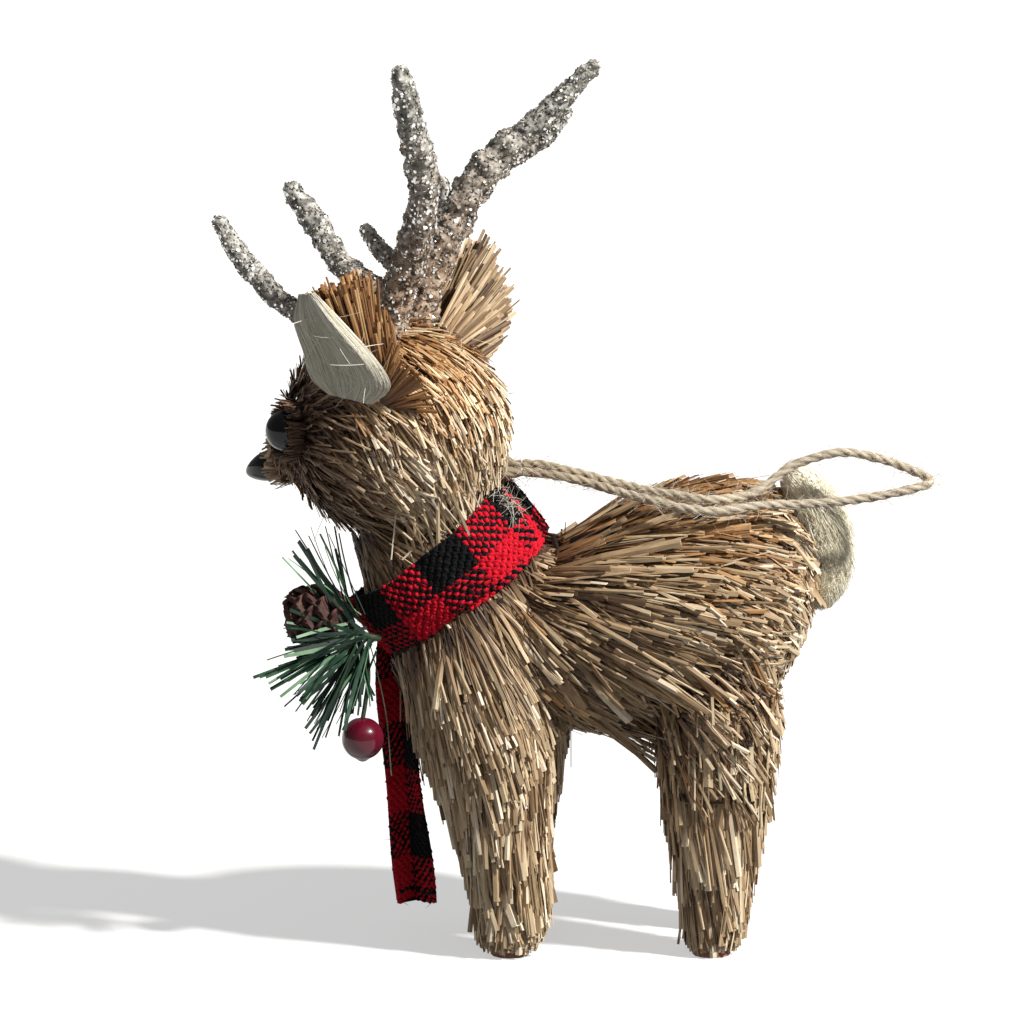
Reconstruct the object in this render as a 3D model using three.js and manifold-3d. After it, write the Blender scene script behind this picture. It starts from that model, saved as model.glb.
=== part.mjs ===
// A straw reindeer ornament: foam and dowel cores inside coats of glued straw, with glittered antlers,
// bead eyes, a plaid scarf, a small pine sprig and a twine loop to hang it by.
// Lengths are millimetres. The nose points to -X, the left side to -Y, and the feet stand on Z = 0.
import * as THREE from 'three';
import { mergeVertices } from 'three/addons/utils/BufferGeometryUtils.js';
import Module from 'manifold-3d';

const wasm = await Module();
wasm.setup();

// ---- Driving dimensions ----

const gap = 0.3; // clearance between neighbouring pieces
const sides = { left: -1, right: 1 };

// Trunk: [x, centre height, half height, half width]
const trunkStations = [
  [-16, 60, 3, 3], [-14, 60, 8, 9], [-8, 60, 14, 15], [2, 60, 18.5, 19], [14, 63, 22.5, 21.5],
  [26, 65, 25, 22], [38, 66.8, 24.2, 21.5], [47, 69.5, 19, 18], [52.5, 72, 11.5, 12], [55.5, 73, 4, 4],
];
const trunkCore = { middle: 20, length: 0.75, girth: 0.6 }; // foam core as shares of the straw trunk

// Legs: [height, x, distance from the middle plane, half length, half width]
const legs = {
  front: {
    coat: [[0.6, -4.1, 11.5, 7.6, 7.2], [20, -4.5, 11.5, 9.6, 8.6], [38, -6.5, 11.2, 11, 9], [50, -4, 10, 9, 7.5]],
    core: [[0, -4.1, 11.5, 3.6, 3.6], [60, 2, 6.5, 4.2, 4.2]],
  },
  back: {
    coat: [
      [0.6, 34.3, 11.2, 6.3, 6.2], [20, 34.9, 11.2, 9.4, 8.2], [39, 34.8, 11.2, 12, 9.6],
      [50, 35.6, 11.5, 12.2, 10], [60, 35, 10, 8, 7],
    ],
    core: [[0, 34.3, 11.2, 3.6, 3.6], [60, 33, 7, 4.2, 4.2]],
  },
};

// Chest bib: [height, x, 0, half length, half width]
const chestStations = [
  [37.5, -7.5, 0, 14.5, 21.5], [42, -7.7, 0, 15.8, 22], [50, -9.4, 0, 17.8, 21], [58, -11, 0, 19.5, 19],
  [66, -10.5, 0, 19, 17.5], [78, -8, 0, 17, 15],
];

// Neck: its middle, its lean towards the nose, and its straw and dowel
const neck = { x: -15.5, z: 73, lean: THREE.MathUtils.degToRad(38), radius: 17.9, flatten: 0.84 };
const neckStraw = { below: 9, above: 9 };
const neckDowel = { below: 17, above: 22, radius: 3.5 };
const band = { inner: 18.3, outer: 19.6, width: 12 };

// Head: pieces on it are given as [forward, left, up] from its centre
const head = { x: -26, y: 0, z: 100, yaw: THREE.MathUtils.degToRad(32) };
const skull = { radii: [23, 21.5, 21.5], core: 12.5 };
const muzzle = { centre: [16, 0, -5], radii: [13, 10.5, 10] };
const eye = { forward: 13.6, out: 16.5, up: 0.6, radius: 4, shank: 0.7, shankLength: 3.8 };
const nose = { base: [27.9, 0, -10], radius: 3.1, length: 6.2, droop: 0.35, peg: 1.0, pegLength: 4 };

const antlers = {
  left: {
    beam: { points: [[-2.1, 3.6, 12], [-2.6, 4.2, 24.5], [-8.7, 6.4, 37], [-13, 9.5, 48.3], [-14.1, 16, 61],
      [-15.6, 22.1, 72.5]], radii: [3.2, 3.4, 3.1, 2.9, 2.6, 1.7] },
    tine: { points: [[-1.8, 4.8, 21.5], [7.4, 7, 21.5], [16.6, 9.2, 22.5], [25.9, 11.4, 30.5], [32, 12.9, 39.5]],
      radii: [2.2, 2.1, 2, 1.9, 1.3] },
    nub: { points: [[-5.5, 5.3, 31], [-1.5, 7, 35], [1.5, 8.6, 40]], radii: [2, 1.6, 1] },
  },
  right: {
    beam: { points: [[-2.1, -6, 12], [-2.4, -6.4, 24.5], [-7, -12, 40.5], [-12, -18, 50.5], [-18, -22.5, 57],
      [-27.5, -29, 68.6]], radii: [3.2, 3.4, 3.2, 3.1, 2.6, 1.1] },
    tine: { points: [[-0.7, -6.4, 22], [9.8, -8.1, 24.5], [18, -10, 28], [26.3, -11.9, 36], [32.6, -12.6, 42.5]],
      radii: [2.4, 2.4, 2.3, 2.1, 1.4] },
    nub: { points: [[-4.5, -9.5, 33], [-4.6, -10.6, 39], [-4.2, -10.8, 47]], radii: [2, 1.7, 1.1] },
  },
};

const ears = {
  left: { root: [-1.2, 17, 8.7], tip: [-1.7, 27.2, 31], facing: [0.15, 0.8, -0.4], halfWidths: [6, 7] },
  right: { root: [-1.5, -12.5, 15], tip: [-2.3, -31, 26.5], facing: [0.98, -0.18, -0.1], halfWidths: [3.4, 8.2] },
};
const earShape = { cup: 0.8, strawThickness: 2.2, liningGap: 0.5, liningThickness: 1.2 };

const tailPuff = [[65.5, 54, 0, 2.5, 3], [70, 55.5, 0, 5, 5.5], [79, 55.6, 0, 5.6, 6.5], [87, 53, 0, 5.8, 6],
  [91.5, 50.8, 0, 4, 4.5], [93.5, 50, 0, 1.5, 2]];

// Hanging end of the scarf: its route down from the band, its section, and the furrow it hangs in
const scarfEnd = { points: [[-24.9, 0.8, 52.5], [-25.3, 0.8, 46], [-24.4, 0.9, 36], [-23.4, 1, 24], [-22.5, 1, 14],
  [-21.8, 1, 7.6]], width: 6.6, thickness: 2.2 };
const furrow = { x: [-60, -22.6], y: [-3, 4.6], z: [30, 57] };

// Pine sprig at the throat
const sprig = { x: -31.4, y: -11.5, z: 62, knot: 2.2 };
const needleTips = [[-43, -14, 79], [-36, -11, 80], [-47, -22, 53], [-45, -14, 47.5], [-42, -18, 44.5],
  [-39, -9, 43.5], [-35.5, -18.5, 43.5], [-29.5, -6.8, 46.5], [-28.5, -18, 50]];
const needle = { root: 1.3, tip: 0.5 };
const pineCone = { length: 12.6, radius: 5.8, rows: 5, at: [-34.4, -8.6, 64.2] };
const sprigWire = { radius: 0.7 };
const berry = { x: -32, y: -12.5, z: 42.3, radius: 4 };

// Twine loop: out from the back of the neck, over the back, round, and home beside itself
const twine = { diameter: 1.8, steps: 48 };
const twineRoute = [
  [-1.7, -2.4, 93.3], [1.8, -2.9, 93.3], [5.4, -4, 92.7], [10.6, -5, 91.6], [18.2, -7, 90], [22.4, -9.2, 89.4],
  [26.5, -11.5, 89.2], [33.4, -14, 88.7], [39.3, -12.6, 89], [43.4, -11.5, 90.4], [47.6, -10, 93.4],
  [51.8, -9.5, 95.4], [58.7, -9.5, 96.9], [66.3, -10, 95.6], [72, -11, 93.6], [75.1, -12.3, 92], [72, -13.7, 90.8],
  [62.8, -14.2, 89], [52.8, -14.4, 88], [43.4, -15, 87.8], [34.9, -16.6, 87], [29.5, -16, 87.3],
  [24.8, -14.2, 88], [16.5, -10, 89.4], [10.6, -7.8, 90.8], [5.4, -6.7, 91.8], [1.8, -5.6, 92.1], [-1.7, -4.9, 92.3],
];
const twineKnot = { x: -5.6, y: -3.6, z: 92.6, radius: 2.4 };

// ---- Looks of the plain parts ----

function finish(color, roughness, metalness = 0) {
  return new THREE.MeshStandardMaterial({ color, roughness, metalness });
}

const finishes = {
  straw: finish(0xb39468, 0.85),
  darkStraw: finish(0x9a6a38, 0.85),
  sisal: finish(0xd9d2b8, 0.8),
  foam: finish(0xf2f0ea, 0.9),
  wood: finish(0xb98a55, 0.7),
  craftPaper: finish(0x8e5540, 0.9),
  glitter: finish(0xb7aa9a, 0.35, 0.6),
  bead: finish(0x0a0b0d, 0.1),
  plaid: finish(0xa3141d, 0.95),
  needles: finish(0x1f4a2b, 0.6),
  wire: finish(0x34402e, 0.5),
  cone: finish(0x3c241b, 0.8),
  berry: finish(0x6c0f22, 0.25),
  twine: finish(0xa88f63, 0.9),
};

// ---- Shape helpers ----

function vector(point) {
  return new THREE.Vector3(...point);
}

function signedVolume(position, index) {
  let total = 0;
  const corners = [new THREE.Vector3(), new THREE.Vector3(), new THREE.Vector3()];
  for (let i = 0; i < index.length; i += 3) {
    corners.forEach((corner, k) => corner.fromArray(position, index[i + k] * 3));
    total += corners[0].dot(corners[1].clone().cross(corners[2]));
  }
  return total;
}

// A closed surface through rings of equal count, with a fan over each end.
function loft(rings) {
  const count = rings[0].length;
  const position = rings.flat().flatMap((point) => point.toArray());
  const index = [];
  for (let r = 0; r + 1 < rings.length; r += 1) {
    for (let k = 0; k < count; k += 1) {
      const a = r * count + k;
      const b = r * count + ((k + 1) % count);
      index.push(a, b, b + count, a, b + count, a + count);
    }
  }
  [0, rings.length - 1].forEach((r) => {
    const middle = rings[r].reduce((sum, point) => sum.add(point), new THREE.Vector3()).divideScalar(count);
    const hub = position.length / 3;
    position.push(...middle.toArray());
    for (let k = 0; k < count; k += 1) {
      const a = r * count + k;
      const b = r * count + ((k + 1) % count);
      index.push(...(r === 0 ? [hub, b, a] : [hub, a, b]));
    }
  });
  if (signedVolume(position, index) < 0) {
    index.reverse();
  }
  const geometry = new THREE.BufferGeometry();
  geometry.setAttribute('position', new THREE.Float32BufferAttribute(position, 3));
  geometry.setIndex(index);
  return geometry;
}

function ellipseRing(centre, across, up, count) {
  return Array.from({ length: count }, (_, k) => {
    const angle = (2 * Math.PI * k) / count;
    return centre.clone().addScaledVector(across, Math.cos(angle)).addScaledVector(up, Math.sin(angle));
  });
}

// A round limb through points, whose radius changes along it.
function limb(points, radii, grow = 0, count = 8, steps = 14) {
  const curve = new THREE.CatmullRomCurve3(points.map(vector));
  const frames = curve.computeFrenetFrames(steps);
  const rings = frames.normals.map((normal, i) => {
    const place = (i / steps) * (radii.length - 1);
    const low = Math.min(Math.floor(place), radii.length - 2);
    const radius = THREE.MathUtils.lerp(radii[low], radii[low + 1], place - low) + grow;
    const across = normal.clone().multiplyScalar(radius);
    const up = frames.binormals[i].clone().multiplyScalar(radius);
    return ellipseRing(curve.getPointAt(i / steps), across, up, count);
  });
  return loft(rings);
}

// A solid of level rings: [height, x, distance from the middle, half length, half width].
function levelLoft(stations, side = 1, grow = 0, count = 16) {
  return loft(stations.map(([z, x, y, halfLength, halfWidth]) => ellipseRing(
    new THREE.Vector3(x, side * y, z),
    new THREE.Vector3(halfLength + grow, 0, 0),
    new THREE.Vector3(0, halfWidth + grow, 0),
    count,
  )));
}

function ellipsoid(centre, radii, grow = 0, around = 12, down = 8) {
  const ball = new THREE.SphereGeometry(1, around, down);
  ball.rotateX(Math.PI / 2);
  ball.scale(...radii.map((radius) => radius + grow));
  ball.translate(...centre);
  return ball;
}

function solid(geometry) {
  const bare = geometry.clone();
  bare.deleteAttribute('normal');
  bare.deleteAttribute('uv');
  const merged = mergeVertices(bare, 1e-4);
  return new wasm.Manifold(new wasm.Mesh({
    numProp: 3,
    vertProperties: new Float32Array(merged.getAttribute('position').array),
    triVerts: new Uint32Array(merged.getIndex().array),
  }));
}

function surface(body) {
  const { vertProperties, triVerts } = body.getMesh();
  const geometry = new THREE.BufferGeometry();
  geometry.setAttribute('position', new THREE.BufferAttribute(vertProperties, 3));
  geometry.setIndex(new THREE.BufferAttribute(triVerts, 1));
  return geometry;
}

// What is left of the first geometry once the others are taken out of it.
function carve(geometry, cutters) {
  return surface(cutters.reduce((body, cutter) => body.subtract(solid(cutter)), solid(geometry)));
}

function join(geometries) {
  return surface(geometries.map(solid).reduce((body, other) => body.add(other)));
}

const model = new THREE.Group();

function addMesh(name, geometry, material, parent = model) {
  const mesh = new THREE.Mesh(geometry, material);
  mesh.name = name;
  parent.add(mesh);
  return mesh;
}

// ---- Placing: the head and the neck have frames of their own ----

const headGroup = new THREE.Group();
headGroup.position.set(head.x, head.y, head.z);
headGroup.rotation.z = Math.PI - head.yaw; // local +X is forward, local +Y is the left side
headGroup.updateMatrixWorld();
model.add(headGroup);

const neckGroup = new THREE.Group();
neckGroup.position.set(neck.x, 0, neck.z);
neckGroup.rotation.y = -neck.lean; // local +Z runs up the neck
neckGroup.updateMatrixWorld();
model.add(neckGroup);

function moved(geometry, from, to = model) {
  const matrix = to.matrixWorld.clone().invert().multiply(from.matrixWorld);
  return geometry.clone().applyMatrix4(matrix);
}

// ---- Shapes that several pieces meet ----

function trunkShape(grow = 0, core = { middle: 0, length: 1, girth: 1 }) {
  return loft(trunkStations.map(([x, z, halfHeight, halfWidth], i) => {
    const end = i === 0 ? -1 : Number(i === trunkStations.length - 1);
    return ellipseRing(
      new THREE.Vector3(core.middle + (x - core.middle) * core.length + end * grow, 0, z),
      new THREE.Vector3(0, halfWidth * core.girth + grow, 0),
      new THREE.Vector3(0, 0, halfHeight * core.girth + grow),
      18,
    );
  }));
}

function legCore(leg, side, grow = 0) {
  return levelLoft(leg.core, side, grow, 12);
}

function legCoat(leg, side, grow = 0) {
  const stations = leg.coat.map((station) => [...station]);
  stations[0][0] -= grow;
  stations[stations.length - 1][0] += grow;
  return levelLoft(stations, side, grow);
}

// A leaning elliptical rod in the neck's own frame.
function neckRod(radius, flatten, below, above, count) {
  const rod = new THREE.CylinderGeometry(radius, radius, above + below, count);
  rod.rotateX(Math.PI / 2);
  rod.scale(1, flatten, 1);
  rod.translate(0, 0, (above - below) / 2);
  return rod;
}

function dowelShape(grow = 0) {
  return neckRod(neckDowel.radius + grow, 1, neckDowel.below + grow, neckDowel.above + grow, 12);
}

function neckShape(grow = 0) {
  return neckRod(neck.radius + grow, neck.flatten, neckStraw.below + grow, neckStraw.above + grow, 24);
}

function headShape(grow = 0) {
  return join([
    ellipsoid([0, 0, 0], skull.radii, grow, 20, 12),
    ellipsoid(muzzle.centre, muzzle.radii, grow),
  ]);
}

function antlerShape(antler, grow = 0) {
  return join([
    limb(antler.beam.points, antler.beam.radii, grow, 8, 11),
    limb(antler.tine.points, antler.tine.radii, grow, 6, 7),
    limb(antler.nub.points, antler.nub.radii, grow, 6, 3),
  ]);
}

// A cupped fan: rings of an outer and an inner arc, from the root to the tip.
function earPiece(ear, back, front, start = 0, end = 1) {
  const along = vector(ear.tip).sub(vector(ear.root));
  const length = along.length();
  along.normalize();
  const facing = vector(ear.facing);
  facing.addScaledVector(along, -facing.dot(along)).normalize();
  const across = facing.clone().cross(along);
  const arc = 5;
  const steps = 3;
  const rings = [];
  for (let s = 0; s <= steps; s += 1) {
    const place = THREE.MathUtils.lerp(start, end, s / steps);
    const halfWidth = THREE.MathUtils.lerp(...ear.halfWidths, place);
    const middle = vector(ear.root).addScaledVector(along, length * place);
    const radius = halfWidth / Math.sin(earShape.cup);
    const ring = [];
    for (const [depth, sign] of [[back, 1], [front, -1]]) {
      for (let k = 0; k <= arc; k += 1) {
        const angle = sign * earShape.cup * ((2 * k) / arc - 1);
        ring.push(middle.clone()
          .addScaledVector(across, (radius - depth) * Math.sin(angle))
          .addScaledVector(facing, radius - (radius - depth) * Math.cos(angle)));
      }
    }
    rings.push(ring);
  }
  return loft(rings);
}

function earStraw(ear, grow = 0) {
  return earPiece(ear, -earShape.strawThickness - grow, grow);
}

function earLining(ear, grow = 0) {
  const { liningGap, liningThickness } = earShape;
  return earPiece(ear, liningGap - grow, liningGap + liningThickness + grow, 0.12, 0.94);
}

function eyeShape(side, grow = 0) {
  const place = new THREE.Vector3(eye.forward, side * eye.out, eye.up);
  const shank = new THREE.CylinderGeometry(eye.shank + grow, eye.shank + grow, eye.shankLength, 8);
  shank.translate(0, -eye.radius - eye.shankLength / 2 + 1, 0);
  shank.applyQuaternion(new THREE.Quaternion().setFromUnitVectors(
    new THREE.Vector3(0, 1, 0),
    place.clone().normalize(),
  ));
  shank.translate(...place.toArray());
  return join([ellipsoid(place.toArray(), [eye.radius, eye.radius, eye.radius], grow), shank]);
}

// A rounded cone with a peg behind it, turned about its own axis.
function noseShape(grow = 0) {
  const { radius, length, peg, pegLength } = nose;
  const profile = [[0, -pegLength], [peg + grow, -pegLength], [peg + grow, -grow], [radius + grow, -grow],
    [radius + grow, 1], [radius * 0.75 + grow, length * 0.62], [radius * 0.4 + grow, length * 0.9], [0, length + grow]];
  const cone = new THREE.LatheGeometry(profile.map(([r, y]) => new THREE.Vector2(r, y)), 14);
  cone.rotateZ(-Math.PI / 2);
  cone.rotateY(nose.droop);
  cone.translate(...nose.base);
  return cone;
}

function tailShape(grow = 0) {
  return levelLoft(tailPuff, 1, grow, 12);
}

function chestShape() {
  const above = new THREE.BoxGeometry(200, 200, 100);
  above.translate(0, 0, 50 - band.width / 2 - gap);
  const spans = Object.values(furrow);
  const groove = new THREE.BoxGeometry(...spans.map(([low, high]) => high - low));
  groove.translate(...spans.map(([low, high]) => (low + high) / 2));
  return carve(levelLoft(chestStations, 1, 0, 18), [moved(above, neckGroup), groove]);
}

// ---- Trunk, chest, neck and legs ----

const legList = Object.entries(legs).flatMap(([end, leg]) => (
  Object.entries(sides).map(([name, side]) => ({ name: `${end}_${name}`, end, leg, side }))));

addMesh('torso_core', carve(trunkShape(0, trunkCore), [
  ...legList.map(({ leg, side }) => legCore(leg, side, gap)),
  moved(dowelShape(gap), neckGroup),
]), finishes.foam);

addMesh('torso_straw', carve(trunkShape(), [
  trunkShape(gap, trunkCore),
  ...legList.map(({ leg, side }) => legCore(leg, side, gap)),
  moved(dowelShape(gap), neckGroup),
]), finishes.straw);

legList.forEach(({ name, leg, side }) => {
  addMesh(`${name}_leg_core`, legCore(leg, side), finishes.craftPaper);
  addMesh(`${name}_leg_straw`, carve(legCoat(leg, side), [legCore(leg, side, gap), trunkShape(gap)]), finishes.straw);
});

addMesh('neck_dowel', dowelShape(), finishes.wood, neckGroup);
addMesh('neck_straw', carve(neckShape(), [
  dowelShape(gap),
  moved(trunkShape(gap), model, neckGroup),
  moved(headShape(gap), headGroup, neckGroup),
]), finishes.straw, neckGroup);

addMesh('chest_straw', carve(chestShape(), [
  trunkShape(gap),
  moved(neckShape(gap), neckGroup),
  moved(dowelShape(gap), neckGroup),
  ...legList.filter(({ end }) => end === 'front').flatMap(({ leg, side }) => [
    legCoat(leg, side, gap), legCore(leg, side, gap)]),
]), finishes.straw);

addMesh('tail_puff', carve(tailShape(), [
  trunkShape(gap),
  ...legList.filter(({ end }) => end === 'back').map(({ leg, side }) => legCoat(leg, side, gap)),
]), finishes.sisal);

// ---- Head ----

addMesh('head_core', carve(ellipsoid([0, 0, 0], [skull.core, skull.core, skull.core]), [
  moved(dowelShape(gap), neckGroup, headGroup),
  ...Object.values(antlers).map((antler) => antlerShape(antler, gap)),
]), finishes.foam, headGroup);

const knotShape = (grow = 0) => ellipsoid(
  [twineKnot.x, twineKnot.y, twineKnot.z],
  [twineKnot.radius, twineKnot.radius, twineKnot.radius],
  grow,
  8,
  6,
);

addMesh('head_straw', carve(headShape(), [
  ellipsoid([0, 0, 0], [skull.core, skull.core, skull.core], gap),
  moved(dowelShape(gap), neckGroup, headGroup),
  ...Object.values(antlers).map((antler) => antlerShape(antler, gap)),
  ...Object.values(ears).flatMap((ear) => [earStraw(ear, gap), earLining(ear, gap)]),
  ...Object.values(sides).map((side) => eyeShape(-side, gap)),
  noseShape(gap),
  moved(knotShape(gap), model, headGroup),
]), finishes.straw, headGroup);

Object.entries(sides).forEach(([name, side]) => {
  addMesh(`${name}_eye`, eyeShape(-side), finishes.bead, headGroup);
  addMesh(`${name}_antler`, antlerShape(antlers[name]), finishes.glitter, headGroup);
  addMesh(`${name}_ear_straw`, earStraw(ears[name]), finishes.darkStraw, headGroup);
  addMesh(`${name}_ear_lining`, earLining(ears[name]), finishes.sisal, headGroup);
});
addMesh('nose', noseShape(), finishes.bead, headGroup);

// ---- Scarf ----

function scarfBand() {
  const { inner, outer, width } = band;
  const profile = [[inner, -width / 2], [outer, -width / 2], [outer, width / 2], [inner, width / 2],
    [inner, -width / 2]];
  const ring = new THREE.LatheGeometry(profile.map(([r, y]) => new THREE.Vector2(r, y)), 30);
  ring.rotateX(Math.PI / 2);
  ring.scale(1, neck.flatten, 1);
  return ring;
}

function hangingEnd() {
  const curve = new THREE.CatmullRomCurve3(scarfEnd.points.map(vector));
  const rings = Array.from({ length: 9 }, (_, i) => {
    const centre = curve.getPointAt(i / 8);
    const [halfWidth, halfThickness] = [scarfEnd.width / 2, scarfEnd.thickness / 2];
    return [[-1, -1], [1, -1], [1, 1], [-1, 1]].map(([u, v]) => (
      new THREE.Vector3(centre.x + v * halfThickness, centre.y + u * halfWidth, centre.z)));
  });
  return loft(rings);
}

addMesh('scarf_band', scarfBand(), finishes.plaid, neckGroup);
addMesh('scarf_end', hangingEnd(), finishes.plaid);

// ---- Pine sprig, cone and berry ----

const sprigAt = [sprig.x, sprig.y, sprig.z];
const stemPoints = [[sprig.x + 1.7, sprig.y + 0.3, sprig.z], sprigAt, pineCone.at.map((v, i) => v + [0.4, 0, 0][i])];

function stemShape(grow = 0) {
  return limb(stemPoints, [sprigWire.radius, sprigWire.radius], grow, 6, 4);
}

function berryStemShape(grow = 0) {
  const top = [sprig.x + 0.2, sprig.y - 0.2, sprig.z - sprig.knot - 0.6];
  const bottom = [berry.x, berry.y, berry.z + berry.radius + 0.5];
  return limb([top, [berry.x + 0.9, berry.y + 0.4, 54], bottom], [0.5, 0.5], grow, 6, 6);
}

// A stack of flared scale rows, turned about the cone's axis, open end towards the nose.
function coneShape(grow = 0) {
  const profile = [[0, -grow]];
  for (let row = 0; row < pineCone.rows; row += 1) {
    const place = (row + 0.5) / pineCone.rows;
    const rim = pineCone.radius * Math.sin(Math.PI * (0.22 + 0.62 * place)) + grow;
    const height = (pineCone.length * row) / pineCone.rows;
    profile.push([rim * 0.72, height + 0.1], [rim, height + (0.75 * pineCone.length) / pineCone.rows]);
  }
  profile.push([0, pineCone.length + grow]);
  const cone = new THREE.LatheGeometry(profile.map(([r, y]) => new THREE.Vector2(r, y)), 12);
  cone.rotateZ(Math.PI / 2);
  cone.translate(...pineCone.at);
  return cone;
}

function needleShape(tip) {
  return limb([sprigAt, tip.map((v, i) => (v + sprigAt[i]) / 2 + (i === 2 ? 0.6 : 0)), tip],
    [needle.root, needle.tip], 0, 4, 2);
}

function berryShape() {
  const { radius } = berry;
  const profile = [[0, -radius * 1.14], [radius * 0.16, -radius * 1.1], [radius * 0.3, -radius * 0.95]];
  for (let k = 2; k <= 9; k += 1) {
    const angle = -Math.PI / 2 + (Math.PI * k) / 10;
    profile.push([radius * Math.cos(angle), radius * Math.sin(angle)]);
  }
  profile.push([0, radius]);
  const ball = new THREE.LatheGeometry(profile.map(([r, y]) => new THREE.Vector2(r, y)), 14);
  ball.rotateX(Math.PI / 2);
  return ball;
}

addMesh('sprig_stem', stemShape(), finishes.wire);
addMesh('pine_cone', coneShape(), finishes.cone);
addMesh('pine_needles', carve(
  join([ellipsoid(sprigAt, [sprig.knot, sprig.knot, sprig.knot], 0, 8, 6), ...needleTips.map(needleShape)]),
  [stemShape(gap), coneShape(gap), berryStemShape(gap)],
), finishes.needles);
addMesh('berry_stem', berryStemShape(), finishes.wire);
const berryMesh = addMesh('berry', berryShape(), finishes.berry);
berryMesh.position.set(berry.x, berry.y, berry.z);

// ---- Hanging loop ----

function twineLoop() {
  const radius = twine.diameter / 2;
  const section = new THREE.Shape(Array.from({ length: 8 }, (_, k) => (
    new THREE.Vector2(radius * Math.cos((Math.PI * k) / 4), radius * Math.sin((Math.PI * k) / 4)))));
  return new THREE.ExtrudeGeometry(section, {
    extrudePath: new THREE.CatmullRomCurve3(twineRoute.map(vector)),
    steps: twine.steps,
    bevelEnabled: false,
  });
}

addMesh('loop_knot', knotShape(), finishes.twine);
addMesh('hanging_loop', twineLoop(), finishes.twine);

export default model;
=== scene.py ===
"""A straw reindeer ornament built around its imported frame.

Shapes are worked out in millimetres in the part's own frame: the nose points to -X, the left side to -Y,
and the feet stand on Z = 0. They become metres when a mesh is made. Every straw, needle, yarn and flake is
a closed solid of its own inside its piece's mesh.
"""
import math

import bpy
import numpy as np
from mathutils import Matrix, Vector
from mathutils.bvhtree import BVHTree


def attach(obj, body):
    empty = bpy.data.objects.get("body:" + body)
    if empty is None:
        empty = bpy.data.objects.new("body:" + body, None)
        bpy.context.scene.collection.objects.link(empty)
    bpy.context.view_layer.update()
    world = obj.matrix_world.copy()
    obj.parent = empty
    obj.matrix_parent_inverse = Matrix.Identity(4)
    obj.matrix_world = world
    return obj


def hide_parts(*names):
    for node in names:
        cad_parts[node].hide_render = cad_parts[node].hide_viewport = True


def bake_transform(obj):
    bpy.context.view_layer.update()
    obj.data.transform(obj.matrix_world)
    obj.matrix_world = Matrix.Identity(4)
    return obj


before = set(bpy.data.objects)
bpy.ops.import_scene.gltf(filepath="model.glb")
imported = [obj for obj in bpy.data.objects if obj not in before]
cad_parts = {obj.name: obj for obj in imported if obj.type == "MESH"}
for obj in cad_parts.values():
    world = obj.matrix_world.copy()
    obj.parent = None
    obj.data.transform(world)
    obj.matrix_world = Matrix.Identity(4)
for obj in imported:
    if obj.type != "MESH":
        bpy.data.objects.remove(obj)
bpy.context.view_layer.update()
MM = 0.001
ROOT = "figure"

# ---- Driving sizes, in millimetres ----

VIEW = {"aim": (-3.7, 0, 83.6), "distance": 1500, "elevation": 11, "width": 194.6}
HEAD = {"centre": (-26, 0, 100), "yaw": math.radians(32)}
SKULL = (23, 21.5, 21.5)
MUZZLE = {"centre": (16, 0, -5), "radii": (13, 10.5, 10)}
EYE = {"forward": 13.6, "out": 16.5, "up": 0.6, "radius": 4}
NOSE = {"base": (27.9, 0, -10), "radius": 3.1, "length": 6.2, "droop": 0.35}
NECK = {"centre": (-15.5, 0, 73), "lean": math.radians(38), "radius": 17.9, "flatten": 0.84}
TWINE_DIAMETER = 1.8
TWINE_TURN = 8  # along the cord, for one turn of its plies

# Trunk: x, middle height, half height, half width
TRUNK = [
    (-16, 60, 3, 3), (-14, 60, 8, 9), (-8, 60, 14, 15), (2, 60, 18.5, 19), (14, 63, 22.5, 21.5),
    (26, 65, 25, 22), (38, 66.8, 24.2, 21.5), (47, 69.5, 19, 18), (52.5, 72, 11.5, 12), (55.5, 73, 4, 4),
]
# Level rings: height, x, distance from the middle plane, half length, half width
CHEST = [
    (37.5, -7.5, 0, 14.5, 21.5), (42, -7.7, 0, 15.8, 22), (50, -9.4, 0, 17.8, 21), (58, -11, 0, 19.5, 19),
    (66, -10.5, 0, 19, 17.5), (78, -8, 0, 17, 15),
]
FRONT_LEG = [
    (0.6, -4.1, 11.5, 7.6, 7.2), (20, -4.5, 11.5, 9.6, 8.6), (38, -6.5, 11.2, 11, 9), (50, -4, 10, 9, 7.5),
]
BACK_LEG = [
    (0.6, 34.3, 11.2, 6.3, 6.2), (20, 34.9, 11.2, 9.4, 8.2), (39, 34.8, 11.2, 12, 9.6),
    (50, 35.6, 11.5, 12.2, 10), (60, 35, 10, 8, 7),
]
TAIL = [
    (65.5, 54, 0, 2.5, 3), (70, 55.5, 0, 5, 5.5), (79, 55.6, 0, 5.6, 6.5), (87, 53, 0, 5.8, 6),
    (91.5, 50.8, 0, 4, 4.5), (93.5, 50, 0, 1.5, 2),
]

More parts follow.
